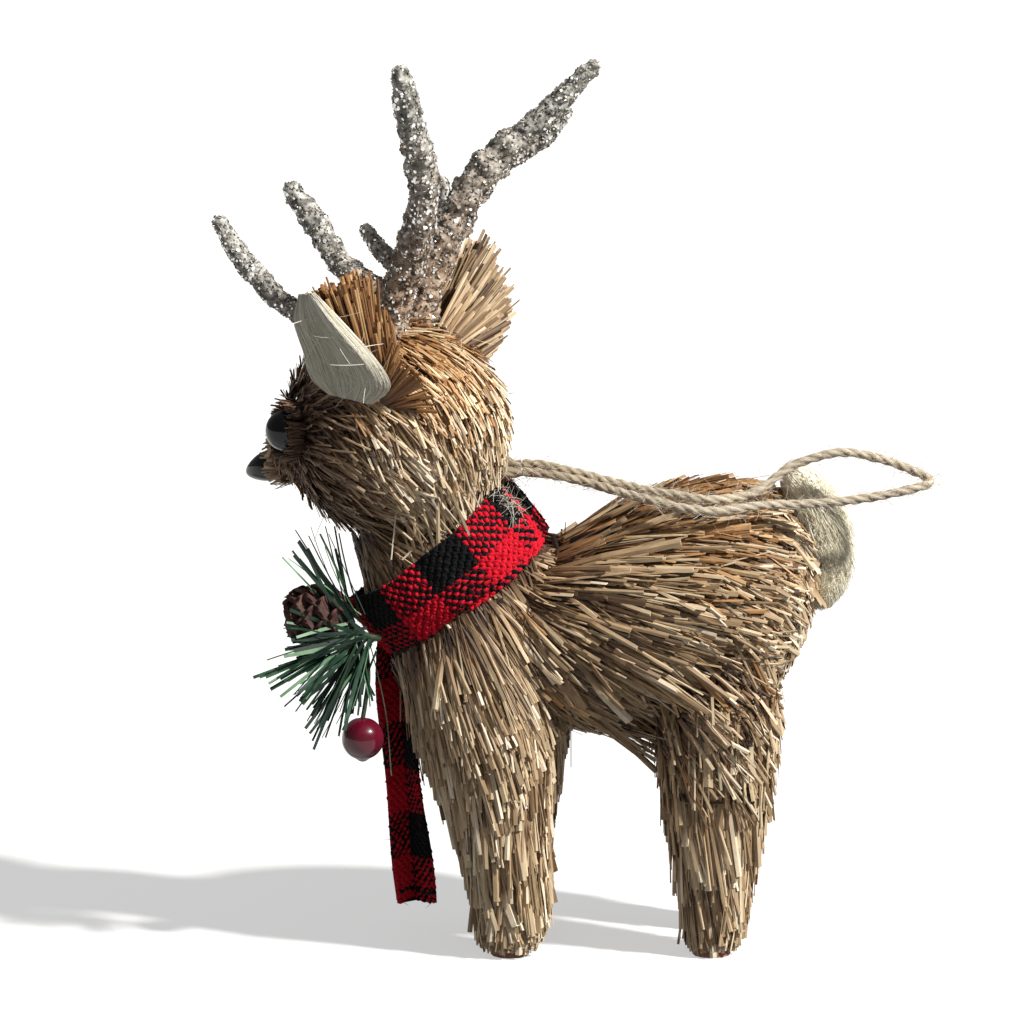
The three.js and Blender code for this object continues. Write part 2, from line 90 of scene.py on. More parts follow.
# The twine loop's route, in metres
TWINE_ROUTE = [
    (-0.0017, -0.0024, 0.0933), (0.0018, -0.0029, 0.0933), (0.0054, -0.004, 0.0927), (0.0106, -0.005, 0.0916),
    (0.0182, -0.007, 0.09), (0.0224, -0.0092, 0.0894), (0.0265, -0.0115, 0.0892), (0.0334, -0.014, 0.0887),
    (0.0393, -0.0126, 0.089), (0.0434, -0.0115, 0.0904), (0.0476, -0.01, 0.0934), (0.0518, -0.0095, 0.0954),
    (0.0587, -0.0095, 0.0969), (0.0663, -0.01, 0.0956), (0.072, -0.011, 0.0936), (0.0751, -0.0123, 0.092),
    (0.072, -0.0137, 0.0908), (0.0628, -0.0142, 0.089), (0.0528, -0.0144, 0.088), (0.0434, -0.015, 0.0878),
    (0.0349, -0.0166, 0.087), (0.0295, -0.016, 0.0873), (0.0248, -0.0142, 0.088), (0.0165, -0.01, 0.0894),
    (0.0106, -0.0078, 0.0908), (0.0054, -0.0067, 0.0918), (0.0018, -0.0056, 0.0921),
    (-0.0017, -0.0049, 0.0923),
]

# Antlers in the head's frame: forward, left, up, radius
ANTLERS = {
    "left": [
        [(-2.1, 3.6, 12, 3.2), (-2.6, 4.2, 24.5, 3.4), (-8.7, 6.4, 37, 3.1), (-13, 9.5, 48.3, 2.9),
         (-14.1, 16, 61, 2.6), (-15.6, 22.1, 72.5, 1.9)],
        [(-1.8, 4.8, 21.5, 2.2), (7.4, 7, 21.5, 2.1), (16.6, 9.2, 22.5, 2), (25.9, 11.4, 30.5, 1.9),
         (32, 12.9, 39.5, 1.4)],
        [(-5.5, 5.3, 31, 2), (-1.5, 7, 35, 1.6), (1.5, 8.6, 40, 1)],
    ],
    "right": [
        [(-2.1, -6, 12, 3.2), (-2.4, -6.4, 24.5, 3.4), (-7, -12, 40.5, 3.2), (-12, -18, 50.5, 3.1),
         (-18, -22.5, 57, 2.5), (-27.5, -29, 68.6, 1.3)],
        [(-0.7, -6.4, 22, 2.4), (9.8, -8.1, 24.5, 2.4), (18, -10, 28, 2.3), (26.3, -11.9, 36, 2.1),
         (32.6, -12.6, 42.5, 1.5)],
        [(-4.5, -9.5, 33, 2), (-4.6, -10.6, 39, 1.7), (-4.2, -10.8, 47, 1.1)],
        # The web that widens the back tine
        [(-10, -16.5, 46, 0.5), (-14.5, -20.6, 50.5, 1.5), (-19, -24, 54.3, 1.6), (-23, -26.5, 59.5, 0.6)],
    ],
}


# ---- Numbers ----

def dice(name):
    """The random source of one piece, the same on every run."""
    return np.random.default_rng(sum(ord(c) * (i + 1) for i, c in enumerate(name)))


def unit(v):
    return v / np.maximum(np.linalg.norm(v, axis=-1, keepdims=True), 1e-9)


def sizes(source, count, low, high):
    return source.uniform(low, high, count)


def at(rule, points):
    """What a rule gives at the points. A plain value is a rule that gives itself."""
    return rule(points) if callable(rule) else rule


def waves(points, size, seed):
    """A smooth value, mostly from -1 to 1, that changes over about size millimetres."""
    source = np.random.default_rng(seed)
    turns = unit(source.normal(size=(9, 3))) * 2 * math.pi / size * source.uniform(0.5, 1.5, (9, 1))
    return np.sin(points @ turns.T + source.uniform(0, 2 * math.pi, 9)).sum(1) / 3


def smooth_line(points, count):
    """Evenly spaced rows on a smooth curve through the given rows."""
    p = np.array(points, float)
    p = np.vstack([2 * p[0] - p[1], p, 2 * p[-1] - p[-2]])
    t = np.linspace(0, len(p) - 3, 24 * (len(p) - 3) + 1)
    i = np.minimum(t.astype(int), len(p) - 4)
    f = (t - i)[:, None]
    a, b, c, d = p[i], p[i + 1], p[i + 2], p[i + 3]
    line = 0.5 * (2 * b + (c - a) * f + (2 * a - 5 * b + 4 * c - d) * f**2 + (3 * b - a - 3 * c + d) * f**3)
    run = np.concatenate([[0], np.cumsum(np.linalg.norm(np.diff(line[:, :3], axis=0), axis=1))])
    even = np.linspace(0, run[-1], count)
    return np.stack([np.interp(even, run, line[:, k]) for k in range(line.shape[1])], 1)


def frames_along(line):
    """Tangents and two steady cross directions along a line of points."""
    tangents = unit(np.gradient(line, axis=0))
    across = [unit(np.cross(tangents[0], (0.3, 0.2, 1)))]
    for tangent in tangents[1:]:
        last = across[-1]
        across.append(unit(last - tangent * (last @ tangent)))
    across = np.array(across)
    return tangents, across, np.cross(tangents, across)


def turns(count):
    """Angles once round a circle."""
    return np.linspace(0, 2 * math.pi, count, endpoint=False)


def spokes(across, up, count):
    """Directions round each axis, from its two cross directions."""
    angle = turns(count)[:, None]
    return across[..., None, :] * np.cos(angle) + up[..., None, :] * np.sin(angle)


def along_surface(flow, normals):
    """The directions of a flow, laid flat on the surface."""
    return unit(flow - normals * np.einsum("ij,ij->i", flow, normals)[:, None])


# ---- The head's and the neck's frames ----

HEAD_AXES = np.array([
    (-math.cos(HEAD["yaw"]), math.sin(HEAD["yaw"]), 0),
    (-math.sin(HEAD["yaw"]), -math.cos(HEAD["yaw"]), 0),
    (0, 0, 1),
])
NECK_AXES = np.array([
    (math.cos(NECK["lean"]), 0, math.sin(NECK["lean"])),
    (0, 1, 0),
    (-math.sin(NECK["lean"]), 0, math.cos(NECK["lean"])),
])


def from_head(points):
    return np.asarray(points, float) @ HEAD_AXES + HEAD["centre"]


def to_head(points):
    return (np.asarray(points, float) - HEAD["centre"]) @ HEAD_AXES.T


def from_neck(points):
    return np.asarray(points, float) @ NECK_AXES + NECK["centre"]


def to_neck(points):
    return (np.asarray(points, float) - NECK["centre"]) @ NECK_AXES.T


# ---- Solids as arrays: a part holds points, faces and the values its material reads ----

def part(points, faces, tone=0.5, strand=None, material=0, smooth=True):
    points = np.asarray(points, float)
    tone = np.broadcast_to(np.asarray(tone, float), (len(points),))
    if strand is None:
        strand = np.zeros((len(points), 3))
    return {"points": points, "faces": faces, "tone": tone, "strand": strand, "material": material,
            "smooth": smooth}


def ring_quads(a, b):
    """The faces between rings of corners a and b. The last axis runs round a ring."""
    return np.stack([a, np.roll(a, -1, -1), np.roll(b, -1, -1), b], -1).reshape(-1, 4)


def faces_in(points, quads, inside):
    """True if the first face points towards the inside of its solid."""
    corners = points[quads[0]]
    outward = corners.mean(0) - inside
    return np.cross(corners[1] - corners[0], corners[2] - corners[0]) @ outward < 0


def grid_part(grid, **values):
    """A closed skin over rings of points, with a fan over each end."""
    rows, count = grid.shape[:2]
    index = np.arange(rows * count).reshape(rows, count)
    quads = ring_quads(index[:-1], index[1:])
    points = np.vstack([grid.reshape(-1, 3), grid[0].mean(0), grid[-1].mean(0)])
    first, last = index[0], index[-1]
    low = np.stack([np.full(count, rows * count), np.roll(first, -1), first], -1)
    high = np.stack([np.full(count, rows * count + 1), last, np.roll(last, -1)], -1)
    faces = [quads, low, high]
    corners = points[np.vstack([quads[:, :3], quads[:, [0, 2, 3]], low, high])]
    if np.einsum("ij,ij->i", corners[:, 0], np.cross(corners[:, 1], corners[:, 2])).sum() < 0:
        faces = [f[:, ::-1] for f in faces]
    return part(points, faces, **values)


def tube_grid(line, radii, sides=8):
    """Rings round a line. Radii are one number or one for each point."""
    _, across, up = frames_along(line)
    radii = np.broadcast_to(radii, (len(line),))[:, None, None]
    return line[:, None] + radii * spokes(across, up, sides)


def tube(line, radii, sides=8, **values):
    return grid_part(tube_grid(line, radii, sides), **values)


def strips(spines, flats, ridges, widths, thickness, taper, tone, along):
    """Many closed straws at once. Spines are (n, rows, 3); each row is a triangle: two edges and a ridge."""
    n, rows = spines.shape[:2]
    side, rise = np.array([(-0.5, 0), (0.5, 0), (0, 1)]).T
    wide = widths[:, None, None, None] * np.array(taper)[None, :, None, None]
    flats, ridges = flats[:, None, None], ridges[:, None, None]
    points = spines[:, :, None] + wide * (side[:, None] * flats + thickness * rise[:, None] * ridges)
    points = points.reshape(-1, 3)
    index = np.arange(n * rows * 3).reshape(n, rows, 3)
    quads = ring_quads(index[:, :-1], index[:, 1:])
    ends = np.vstack([index[:, 0, ::-1], index[:, -1]])
    if faces_in(points, quads, spines[0, :2].mean(0) + thickness * widths[0] / 3 * ridges[0, 0, 0]):
        quads, ends = quads[:, ::-1], ends[:, ::-1]
    share = np.linspace(0, 1, rows)
    strand = np.empty((n, rows, 3, 3))
    strand[..., 0] = widths[:, None, None] * side + 13 * np.arange(n)[:, None, None] % 977
    strand[..., 1] = (along[:, None] * share)[..., None]
    strand[..., 2] = share[:, None]
    return part(points, [quads, ends], tone=np.repeat(tone, rows * 3), strand=strand.reshape(-1, 3),
                smooth=False)


def skin_tree(*grids):
    """Closed skins that straws can be laid against."""
    points, faces = [], []
    for grid in grids:
        skin = grid_part(grid)
        for block in skin["faces"]:
            faces += (block + len(points)).tolist()
        points += skin["points"].tolist()
    return BVHTree.FromPolygons(points, faces)


ROOT_DEPTH = 2.4  # how far under the coat's skin a straw may start
LAYER_DEPTH = 1.2  # how far under its own line a straw may dip


def lay(tree, spines, tops):
    """Spines bent to follow a skin. Each rises from its root to its own top height over the skin."""
    spines = spines.copy()
    steps = np.diff(spines, axis=1)
    rows = spines.shape[1]
    way = unit(steps[:, 0])
    for row in range(1, rows):
        length = np.linalg.norm(steps[:, row - 1], axis=1)[:, None]
        target = spines[:, row - 1] + unit(way + unit(steps[:, row - 1])) * length
        ceiling = -ROOT_DEPTH + (tops + ROOT_DEPTH) * row / (rows - 1)
        for k, point in enumerate(target.tolist()):
            near, normal, _, _ = tree.find_nearest(point)
            height = (Vector(point) - near).dot(normal)
            target[k] = near + normal * min(max(height, ceiling[k] - LAYER_DEPTH), ceiling[k])
        way = unit(target - spines[:, row - 1])
        spines[:, row] = target
    return spines


def straws(roots, aims, normals, lengths, widths, tone, source, curl=0.12, roll=0.6, rows=3, thickness=0.24,
           taper=(0.75, 1.0, 0.9), wander=0.0, tree=None, tops=None):
    """Straws from roots along aims. Each lies roughly flat on its normal, rolled and curled a little."""
    n = len(roots)
    aims = unit(aims)
    side = unit(np.cross(aims, normals))
    up = np.cross(side, aims)
    turn = source.uniform(-roll, roll, n)[:, None]
    flats = side * np.cos(turn) + up * np.sin(turn)
    ridges = np.cross(flats, aims)
    share = np.linspace(0, 1, rows)[None, :, None]
    bend = curl * source.uniform(-0.4, 1.0, (n, 1, 1)) * lengths[:, None, None]
    sway = wander * source.normal(size=(n, 1, 1)) * lengths[:, None, None]
    spines = roots[:, None] + aims[:, None] * lengths[:, None, None] * share
    spines = spines - up[:, None] * bend * share**2 + side[:, None] * sway * share**2
    if tree is not None:
        spines = lay(tree, spines, tops)
    taper = np.interp(np.linspace(0, 1, rows), np.linspace(0, 1, len(taper)), taper)
    return strips(spines, flats, ridges, widths, thickness, taper, np.clip(tone, 0, 1), lengths)


def fuzz(points, normals, source, length, width, tone, lie=0.7, curl=0.5):
    """Loose curved hairs on a surface."""
    n = len(points)
    aims = unit(unit(source.normal(size=(n, 3))) * lie + normals * (1 - lie))
    return straws(points, aims, normals, sizes(source, n, *length), sizes(source, n, *width), tone, source,
                  curl=curl, roll=1.5, rows=6, thickness=0.8, taper=(1, 1, 0.6), wander=0.3)


def build(name, parts, materials, body=ROOT, replaced=()):
    """One Blender object from parts, riding on a body and standing for CAD nodes."""
    mesh = bpy.data.meshes.new(name)
    mesh.vertices.add(sum(len(p["points"]) for p in parts))
    mesh.vertices.foreach_set("co", (np.vstack([p["points"] for p in parts]) * MM).ravel())
    corners, spans, kinds, smooth, start = [], [], [], [], 0
    for p in parts:
        for faces in p["faces"]:
            corners.append((faces + start).ravel())
            spans.append(np.full(len(faces), faces.shape[1]))
            kinds.append(np.full(len(faces), p["material"]))
            smooth.append(np.full(len(faces), p["smooth"]))
        start += len(p["points"])
    corners, spans = np.concatenate(corners), np.concatenate(spans)
    mesh.loops.add(len(corners))
    mesh.loops.foreach_set("vertex_index", corners)
    mesh.polygons.add(len(spans))
    mesh.polygons.foreach_set("loop_start", np.concatenate([[0], np.cumsum(spans)[:-1]]))
    mesh.polygons.foreach_set("material_index", np.concatenate(kinds))
    mesh.polygons.foreach_set("use_smooth", np.concatenate(smooth))
    mesh.update(calc_edges=True)
    tone = mesh.attributes.new("tone", "FLOAT", "POINT")
    tone.data.foreach_set("value", np.concatenate([p["tone"] for p in parts]).astype(np.float32))
    strand = mesh.attributes.new("strand", "FLOAT_VECTOR", "POINT")
    strand.data.foreach_set("vector", np.vstack([p["strand"] for p in parts]).astype(np.float32).ravel())
    for material in materials:
        mesh.materials.append(material)
    piece = bpy.data.objects.new(name, mesh)
    bpy.context.scene.collection.objects.link(piece)
    if replaced:
        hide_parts(*replaced)
    if body:
        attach(piece, body)
    return piece


# ---- Surfaces that straw grows on ----

def level_grid(stations, side=1, grow=0.0, rows=40, count=48):
    """Rings of points, level or upright, through stations of height, x, y, half length and half width."""
    line = smooth_line(stations, rows)
    angle = turns(count)
    z, x, y, long, wide = (line[:, k, None] for k in range(5))
    return np.stack([
        x + (long + grow) * np.cos(angle),
        side * y + (wide + grow) * np.sin(angle),
        z + 0 * angle,
    ], -1)


def trunk_grid(grow=0.0, rows=48, count=56):
    line = smooth_line(TRUNK, rows)
    angle = turns(count)
    x, z, high, wide = (line[:, k, None] for k in range(4))
    return np.stack([
        x + 0 * angle,
        np.maximum(wide + grow, 0.5) * np.cos(angle),
        z + np.maximum(high + grow, 0.5) * np.sin(angle),
    ], -1)


def ball_grid(centre, radii, grow=0.0, rows=30, count=40):
    """Rings round the first axis, from its far pole to its near one."""
    polar = np.linspace(0.04, math.pi - 0.04, rows)[:, None]
    angle = turns(count)
    a, b, c = (radius + grow for radius in radii)
    return np.stack([
        centre[0] - a * np.cos(polar) + 0 * angle,
        centre[1] + b * np.sin(polar) * np.cos(angle),
        centre[2] + c * np.sin(polar) * np.sin(angle),
    ], -1)


def neck_grid(low, high, grow=0.0, rows=16, count=48):
    """Rings round the neck, which narrows towards the head, mostly in front."""
    angle = turns(count)
    up = np.linspace(low, high, rows)[:, None]
    narrow = np.clip((up - 3) / 12, 0, 1)
    radius = NECK["radius"] + grow - 2.6 * narrow
    return from_neck(np.stack([
        radius * np.cos(angle) + 2.2 * narrow,
        NECK["flatten"] * radius * np.sin(angle),
        up + 0 * angle,
    ], -1))


def scatter(grid, count, source):
    """Random points spread evenly over a grid of rings, with the outward direction at each."""
    a, b = grid[:-1], grid[1:]
    corners = np.stack([a, np.roll(a, -1, 1), np.roll(b, -1, 1), b], 2).reshape(-1, 4, 3)
    face = np.cross(corners[:, 2] - corners[:, 0], corners[:, 3] - corners[:, 1])
    area = np.linalg.norm(face, axis=1)
    middle = grid.mean(axis=1).repeat(grid.shape[1], 0).reshape(grid.shape)
    centre = ((middle[:-1] + middle[1:]) / 2).reshape(-1, 3)
    normals = unit(face)
    outward = np.einsum("ij,ij->i", normals, corners.mean(1) - centre)
    normals = normals * np.where(outward < 0, -1, 1)[:, None]
    pick = source.choice(len(area), count, p=area / area.sum())
    u, v = source.random((2, count, 1))
    c = corners[pick]
    points = (c[:, 0] * (1 - u) + c[:, 1] * u) * (1 - v) + (c[:, 3] * (1 - u) + c[:, 2] * u) * v
    return points, normals[pick]


def on_grid(grid, s, t):
    """Points and outward directions at fractional rows s and columns t of a grid."""
    i = np.clip(s.astype(int), 0, grid.shape[0] - 2)
    j = np.clip(t.astype(int), 0, grid.shape[1] - 2)
    u, v = (s - i)[..., None], (t - j)[..., None]
    a, b, c, d = grid[i, j], grid[i + 1, j], grid[i, j + 1], grid[i + 1, j + 1]
    point = (a * (1 - u) + b * u) * (1 - v) + (c * (1 - u) + d * u) * v
    return point, unit(np.cross(c - a, b - a))


def growth(grid, count, flow, source, tilt, spread=0.12, clump=0.22, seed=1, tuft=7):
    """Roots in tufts on a grid, with each straw's direction: the flow along the surface, raised by tilt."""
    tufts = -(-count // tuft)
    centres, normals = scatter(grid, tufts, source)
    group = np.repeat(np.arange(tufts), tuft)[:count]
    centres, normals = centres[group], normals[group]
    down = along_surface(flow(centres), normals)
    side = np.cross(normals, down)
    shift = source.normal(0, 1, (count, 2)) * (1.1, 2.0)
    roots = centres + side * shift[:, :1] + down * shift[:, 1:]
    roots = roots + normals * source.uniform(-0.5, 0.5, (count, 1))
    swing = clump * waves(roots, 10, seed)[:, None] + source.normal(0, spread, tufts)[group, None]
    swing = swing + source.normal(0, 0.4 * spread, (count, 1))
    rise = np.broadcast_to(at(tilt, roots), (count,))[:, None]
    rise = rise * source.gamma(2.2, 0.45, tufts)[group, None] + source.normal(0, 0.03, (count, 1))
    aims = (down * np.cos(swing) + side * np.sin(swing)) * np.cos(rise) + normals * np.sin(rise)
    return roots, normals, aims, group


def straw_tone(roots, source, middle=0.5, seed=3, group=None):
    """How pale each straw is: patches, tufts, and much difference from straw to straw."""
    tone = middle + 0.08 * waves(roots, 14, seed) + source.normal(0, 0.17, len(roots))
    return tone if group is None else tone + source.normal(0, 0.09, group[-1] + 1)[group]


# ---- Node materials ----

class Look:
    """A Principled material whose nodes are added by name."""

    def __init__(self, name, **sockets):
        self.material = bpy.data.materials.new(name)
        self.material.use_nodes = True
        self.tree = self.material.node_tree
        self.shader = self.tree.nodes["Principled BSDF"]
        for socket, value in sockets.items():
            self.shader.inputs[socket.replace("_", " ")].default_value = value

    def add(self, kind, inputs=(), **settings):
        node = self.tree.nodes.new(kind)
        for key, value in settings.items():
            setattr(node, key, value)
        for key, value in dict(inputs).items():
            if isinstance(value, bpy.types.NodeSocket):
                self.tree.links.new(value, node.inputs[key])
            else:
                node.inputs[key].default_value = value
        return node

    def tone(self):
        """The mesh's tone: how pale each straw, flake or yarn is."""
        return self.add("ShaderNodeAttribute", attribute_name="tone").outputs["Fac"]

    def strand(self):
        """The mesh's place across, along and in share along each strand."""
        return self.add("ShaderNodeAttribute", attribute_name="strand").outputs["Vector"]

    def place(self):
        return self.add("ShaderNodeTexCoord").outputs["Object"]

    def noise(self, vector, scale, detail=3, stretch=None):
        if stretch:
            stretched = self.add("ShaderNodeVectorMath", {0: vector, 1: stretch}, operation="MULTIPLY")
            vector = stretched.outputs[0]
        sockets = {"Vector": vector, "Scale": scale, "Detail": detail}
        return self.add("ShaderNodeTexNoise", sockets).outputs["Fac"]

    def ramp(self, value, stops):
        node = self.add("ShaderNodeValToRGB", {"Fac": value})
        elements = node.color_ramp.elements
        while len(elements) < len(stops):
            elements.new(0.5)
        for element, (position, colour) in zip(elements, stops):
            element.position = position
            element.color = (*colour, 1)
        return node.outputs["Color"]

    def grey(self, value, stops):
        return self.ramp(value, [(position, (level,) * 3) for position, level in stops])

    def mix(self, a, b, factor=1.0, blend="MIX"):
        node = self.add("ShaderNodeMix", {0: factor}, data_type="RGBA", blend_type=blend)
        for socket, value in ((6, a), (7, b)):
            if isinstance(value, bpy.types.NodeSocket):
                self.tree.links.new(value, node.inputs[socket])
            else:
                node.inputs[socket].default_value = (*value, 1)
        return node.outputs[2]

    def maths(self, operation, a, b=0.0):
        return self.add("ShaderNodeMath", {0: a, 1: b}, operation=operation).outputs[0]

    def spread(self, value, low, high):
        sockets = {"Value": value, "To Min": low, "To Max": high}
        return self.add("ShaderNodeMapRange", sockets).outputs["Result"]

    def colour(self, socket):
        self.tree.links.new(socket, self.shader.inputs["Base Color"])

    def roughness(self, value, low, high):
        self.tree.links.new(self.spread(value, low, high), self.shader.inputs["Roughness"])

    def bump(self, height, strength, distance):
        sockets = {"Height": height, "Strength": strength, "Distance": distance * MM}
        bumpy = self.add("ShaderNodeBump", sockets).outputs["Normal"]
        self.tree.links.new(bumpy, self.shader.inputs["Normal"])


def straw_look(name, stops):
    """Dried straw: each straw's own tone and fine grain along it, darkened towards its root as painted shade.
    """
    look = Look(name, Specular_IOR_Level=0.45)
    strand = look.strand()
    grain = look.noise(strand, 1.0, stretch=(9, 0.35, 0))
    blotch = look.noise(strand, 1.0, stretch=(0.7, 0.22, 0))
    tone = look.maths("ADD", look.tone(), look.spread(grain, -0.16, 0.16))
    base = look.ramp(tone, stops)
    share = look.add("ShaderNodeSeparateXYZ", {0: strand}).outputs["Z"]
    # Painted shade: each straw darkens towards its root, where the straws lying over it would shade it.
    root = look.ramp(share, [(0.0, (0.17, 0.10, 0.06)), (0.45, (0.74, 0.66, 0.58)), (0.85, (1.0, 1.0, 1.0))])
    base = look.mix(base, root, 1.0, "MULTIPLY")
    base = look.mix(base, look.grey(blotch, [(0.3, 0.78), (0.65, 1.1)]), 1.0, "MULTIPLY")
    look.colour(base)
    look.roughness(grain, 0.42, 0.7)
    look.bump(grain, 0.6, 0.1)
    return look.material


def under_look():
    """The dark bed under the straws: a sheet of painted shade for the gaps between them."""
    look = Look("straw shade sheet", Roughness=0.95)
    speck = look.noise(look.place(), 1800, detail=5)
    stops = [(0.3, (0.018, 0.008, 0.003)), (0.55, (0.065, 0.032, 0.014)), (0.8, (0.17, 0.095, 0.045))]
    look.colour(look.ramp(speck, stops))
    look.bump(speck, 0.8, 0.6)
    return look.material


def fibre_look(name, dark, light, roughness=0.5):
    """Fine combed fibre, with streaks that follow each strand."""
    look = Look(name, Roughness=roughness, Specular_IOR_Level=0.4, Sheen_Weight=0.25, Sheen_Roughness=0.4)
    strand = look.strand()
    streak = look.noise(strand, 1.0, stretch=(0.8, 0.15, 0))
    tone = look.maths("ADD", look.tone(), look.maths("SUBTRACT", streak, 0.5))
    between = tuple((a + b) / 2 for a, b in zip(dark, light))
    look.colour(look.ramp(tone, [(0.1, dark), (0.55, between), (0.95, light)]))
    look.bump(streak, 0.2, 0.05)
    return look.material


def gloss_look(name, dark, light, scale, roughness=0.1, coat=0.6):
    """Smooth lacquer or glass with slow colour changes and a few fine scuffs."""
    look = Look(name, Coat_Weight=coat, Coat_Roughness=0.04, Specular_IOR_Level=0.22)
    cloud = look.noise(look.place(), scale, detail=4)
    look.colour(look.ramp(cloud, [(0.3, dark), (0.75, light)]))
    scuff = look.noise(look.place(), scale * 9, detail=6)
    look.roughness(scuff, roughness, roughness + 0.18)
    look.bump(scuff, 0.05, 0.05)
    return look.material


def rough_look(name, stops, scale, stretch=None, roughness=(0.6, 0.85), bump=(0.4, 0.15)):
    """A plain dry surface: a mottled colour with grain, such as foam, wood, paper or bark."""
    look = Look(name, Specular_IOR_Level=0.35)
    mottle = look.noise(look.place(), scale, detail=6, stretch=stretch)
    look.colour(look.ramp(mottle, stops))
    look.roughness(mottle, *roughness)
    look.bump(mottle, *bump)
    return look.material


def glitter_look(name, stops, metallic, roughness):
    """Glitter flakes, or the painted bed under them. Each flake has its own tone."""
    look = Look(name, Metallic=metallic, Specular_IOR_Level=0.6)
    tint = look.noise(look.place(), 260, detail=2)
    tone = look.maths("ADD", look.tone(), look.maths("MULTIPLY", look.maths("SUBTRACT", tint, 0.5), 0.5))
    look.colour(look.ramp(tone, stops))
    look.roughness(tone, *roughness)
    return look.material


def yarn_look():
    """Brushed yarn: tone picks black or red, with fine fibres round each yarn."""
    look = Look("plaid yarn", Roughness=0.95, Specular_IOR_Level=0.08, Sheen_Weight=0.05, Sheen_Roughness=0.5)
    strand = look.strand()
    fibre = look.noise(strand, 1.0, detail=4, stretch=(5, 1.6, 1))
    tone = look.tone()
    reds = [(0.25, (0.20, 0.003, 0.012)), (0.5, (0.62, 0.006, 0.022)), (0.78, (0.92, 0.05, 0.08))]
    blacks = [(0.3, (0.003, 0.003, 0.004)), (0.6, (0.009, 0.009, 0.010)), (0.9, (0.07, 0.07, 0.07))]
    is_red = look.grey(tone, [(0.45, 0.0), (0.55, 1.0)])
    look.colour(look.mix(look.ramp(fibre, blacks), look.ramp(fibre, reds), is_red))
    look.bump(fibre, 0.6, 0.15)
    return look.material


STRAW = [(0.0, (0.030, 0.014, 0.006)), (0.25, (0.135, 0.075, 0.035)), (0.5, (0.37, 0.25, 0.135)),
         (0.75, (0.65, 0.50, 0.32)), (1.0, (0.94, 0.83, 0.65))]
# Straw of the face: a redder brown of its own, darkened further as painted shade for the face turned from the
# sun.
SHADED_FACE_STRAW = [(0.0, (0.018, 0.008, 0.004)), (0.3, (0.080, 0.039, 0.021)), (0.55, (0.18, 0.10, 0.055)),
              (0.8, (0.42, 0.27, 0.155)), (1.0, (0.72, 0.55, 0.39))]
WARM_STRAW = [(0.0, (0.045, 0.018, 0.006)), (0.3, (0.22, 0.095, 0.030)), (0.6, (0.50, 0.27, 0.11)),
              (0.85, (0.70, 0.46, 0.24)), (1.0, (0.88, 0.72, 0.48))]

# bed is the dark sheet under each coat: painted shade for the gaps between the straws.
bed = under_look()
body_straw = straw_look("body straw", STRAW)
shaded_face_straw = straw_look("straw of the face, painted shade", SHADED_FACE_STRAW)
warm_straw = straw_look("warm straw", WARM_STRAW)
sisal = fibre_look("sisal", (0.38, 0.35, 0.26), (0.92, 0.89, 0.78))
tail_fibre = fibre_look("tail fibre", (0.64, 0.58, 0.41), (0.99, 0.96, 0.84))


# ---- Straw coats ----

def coat(name, layers, flow, lengths, tilt, cull=None, middle=0.5, seed=1, material=0, widths=(0.42, 1.6),
         clump=0.2, spread=0.12, loft=(-1.7, 0.5)):
    """Straws as parts. Each layer is a count, a grid of roots, a dark bed under it and the coat's outer
    skins; the bed is a sheet of painted shade for the gaps between the straws. cull says which straws to keep
    and how long they are, from their roots, aims and lengths. Lengths, tilt, middle, material and loft may
    each be a rule of the roots."""
    made = []
    for k, (count, grid, shade_sheet_grid, *skins) in enumerate(layers):
        source = dice(name + str(k))
        roots, normals, aims, group = growth(grid, count, flow, source, tilt, spread, clump, seed + 11 * k)
        low, high = at(lengths, roots)
        reach = np.clip(source.random(group[-1] + 1)[group] + source.normal(0, 0.12, count), -0.1, 1.1)
        rise = source.random(count) ** 1.8
        length = (reach * (high - low) + low) * (0.8 + 0.4 * rise)
        width = widths[0] + (widths[1] - widths[0]) * source.random(count) ** 3
        width = np.where(source.random(count) < 0.015, 1.25 * widths[1], width)
        lowest, highest = at(loft, roots)
        tops = lowest + (highest - lowest) * rise + 1.5 * (source.random(count) < 0.012)
        # Straws that lie lower are made darker: painted shade from the straws over them.
        tone = straw_tone(roots, source, at(middle, roots), seed, group) + 0.42 * (np.sqrt(rise) - 0.6)
        kinds = material(roots, source) if callable(material) else np.full(count, material)
        keep = np.ones(count, bool)
        if cull is not None:
            keep, length = cull(roots, aims, length, source)
        tree = skin_tree(*skins)
        for kind in np.unique(kinds[keep]):
            chosen = keep & (kinds == kind)
            own = [values[chosen] for values in (roots, aims, normals, length, width, tone)]
            straw = straws(*own, source, curl=0.04, roll=0.8, wander=0.05, tree=tree, tops=tops[chosen])
            straw["material"] = int(kind)
            made.append(straw)
        # The dark bed under the straws, a sheet of painted shade
        made.append(grid_part(shade_sheet_grid, tone=0.1, material=3))
    return made


# The last look, bed, is painted shade under the straws.
COAT_LOOKS = [body_straw, warm_straw, shaded_face_straw, bed]


def trunk_flow(points):
    """Out from the shoulder, back along the body and down over the rump."""
    away = points - np.array((-10, 0, 76))
    away[:, 1] *= 0.35
    away[:, 2] -= 0.02 * np.clip(points[:, 0] - 8, 0, None) ** 2
    return unit(away)


def under_band(points, margin=0.0):
    """True inside the space that the scarf band takes round the neck."""
    local = to_neck(points)
    reach = np.hypot(local[:, 0], local[:, 1] / NECK["flatten"])
    return (np.abs(local[:, 2]) < 6 + margin) & (reach < 22)


def above_band(points):
    local = to_neck(points)
    return (local[:, 2] > -6) & (np.hypot(local[:, 0], local[:, 1] / NECK["flatten"]) < 24)


def trunk_cull(roots, aims, length, source):
    keep = (roots[:, 0] > -7) & ~above_band(roots)
    tips = roots + aims * length[:, None]
    keep &= ~((roots[:, 2] < 50) & (roots[:, 0] < 2))
    return keep & ~above_band(tips), length


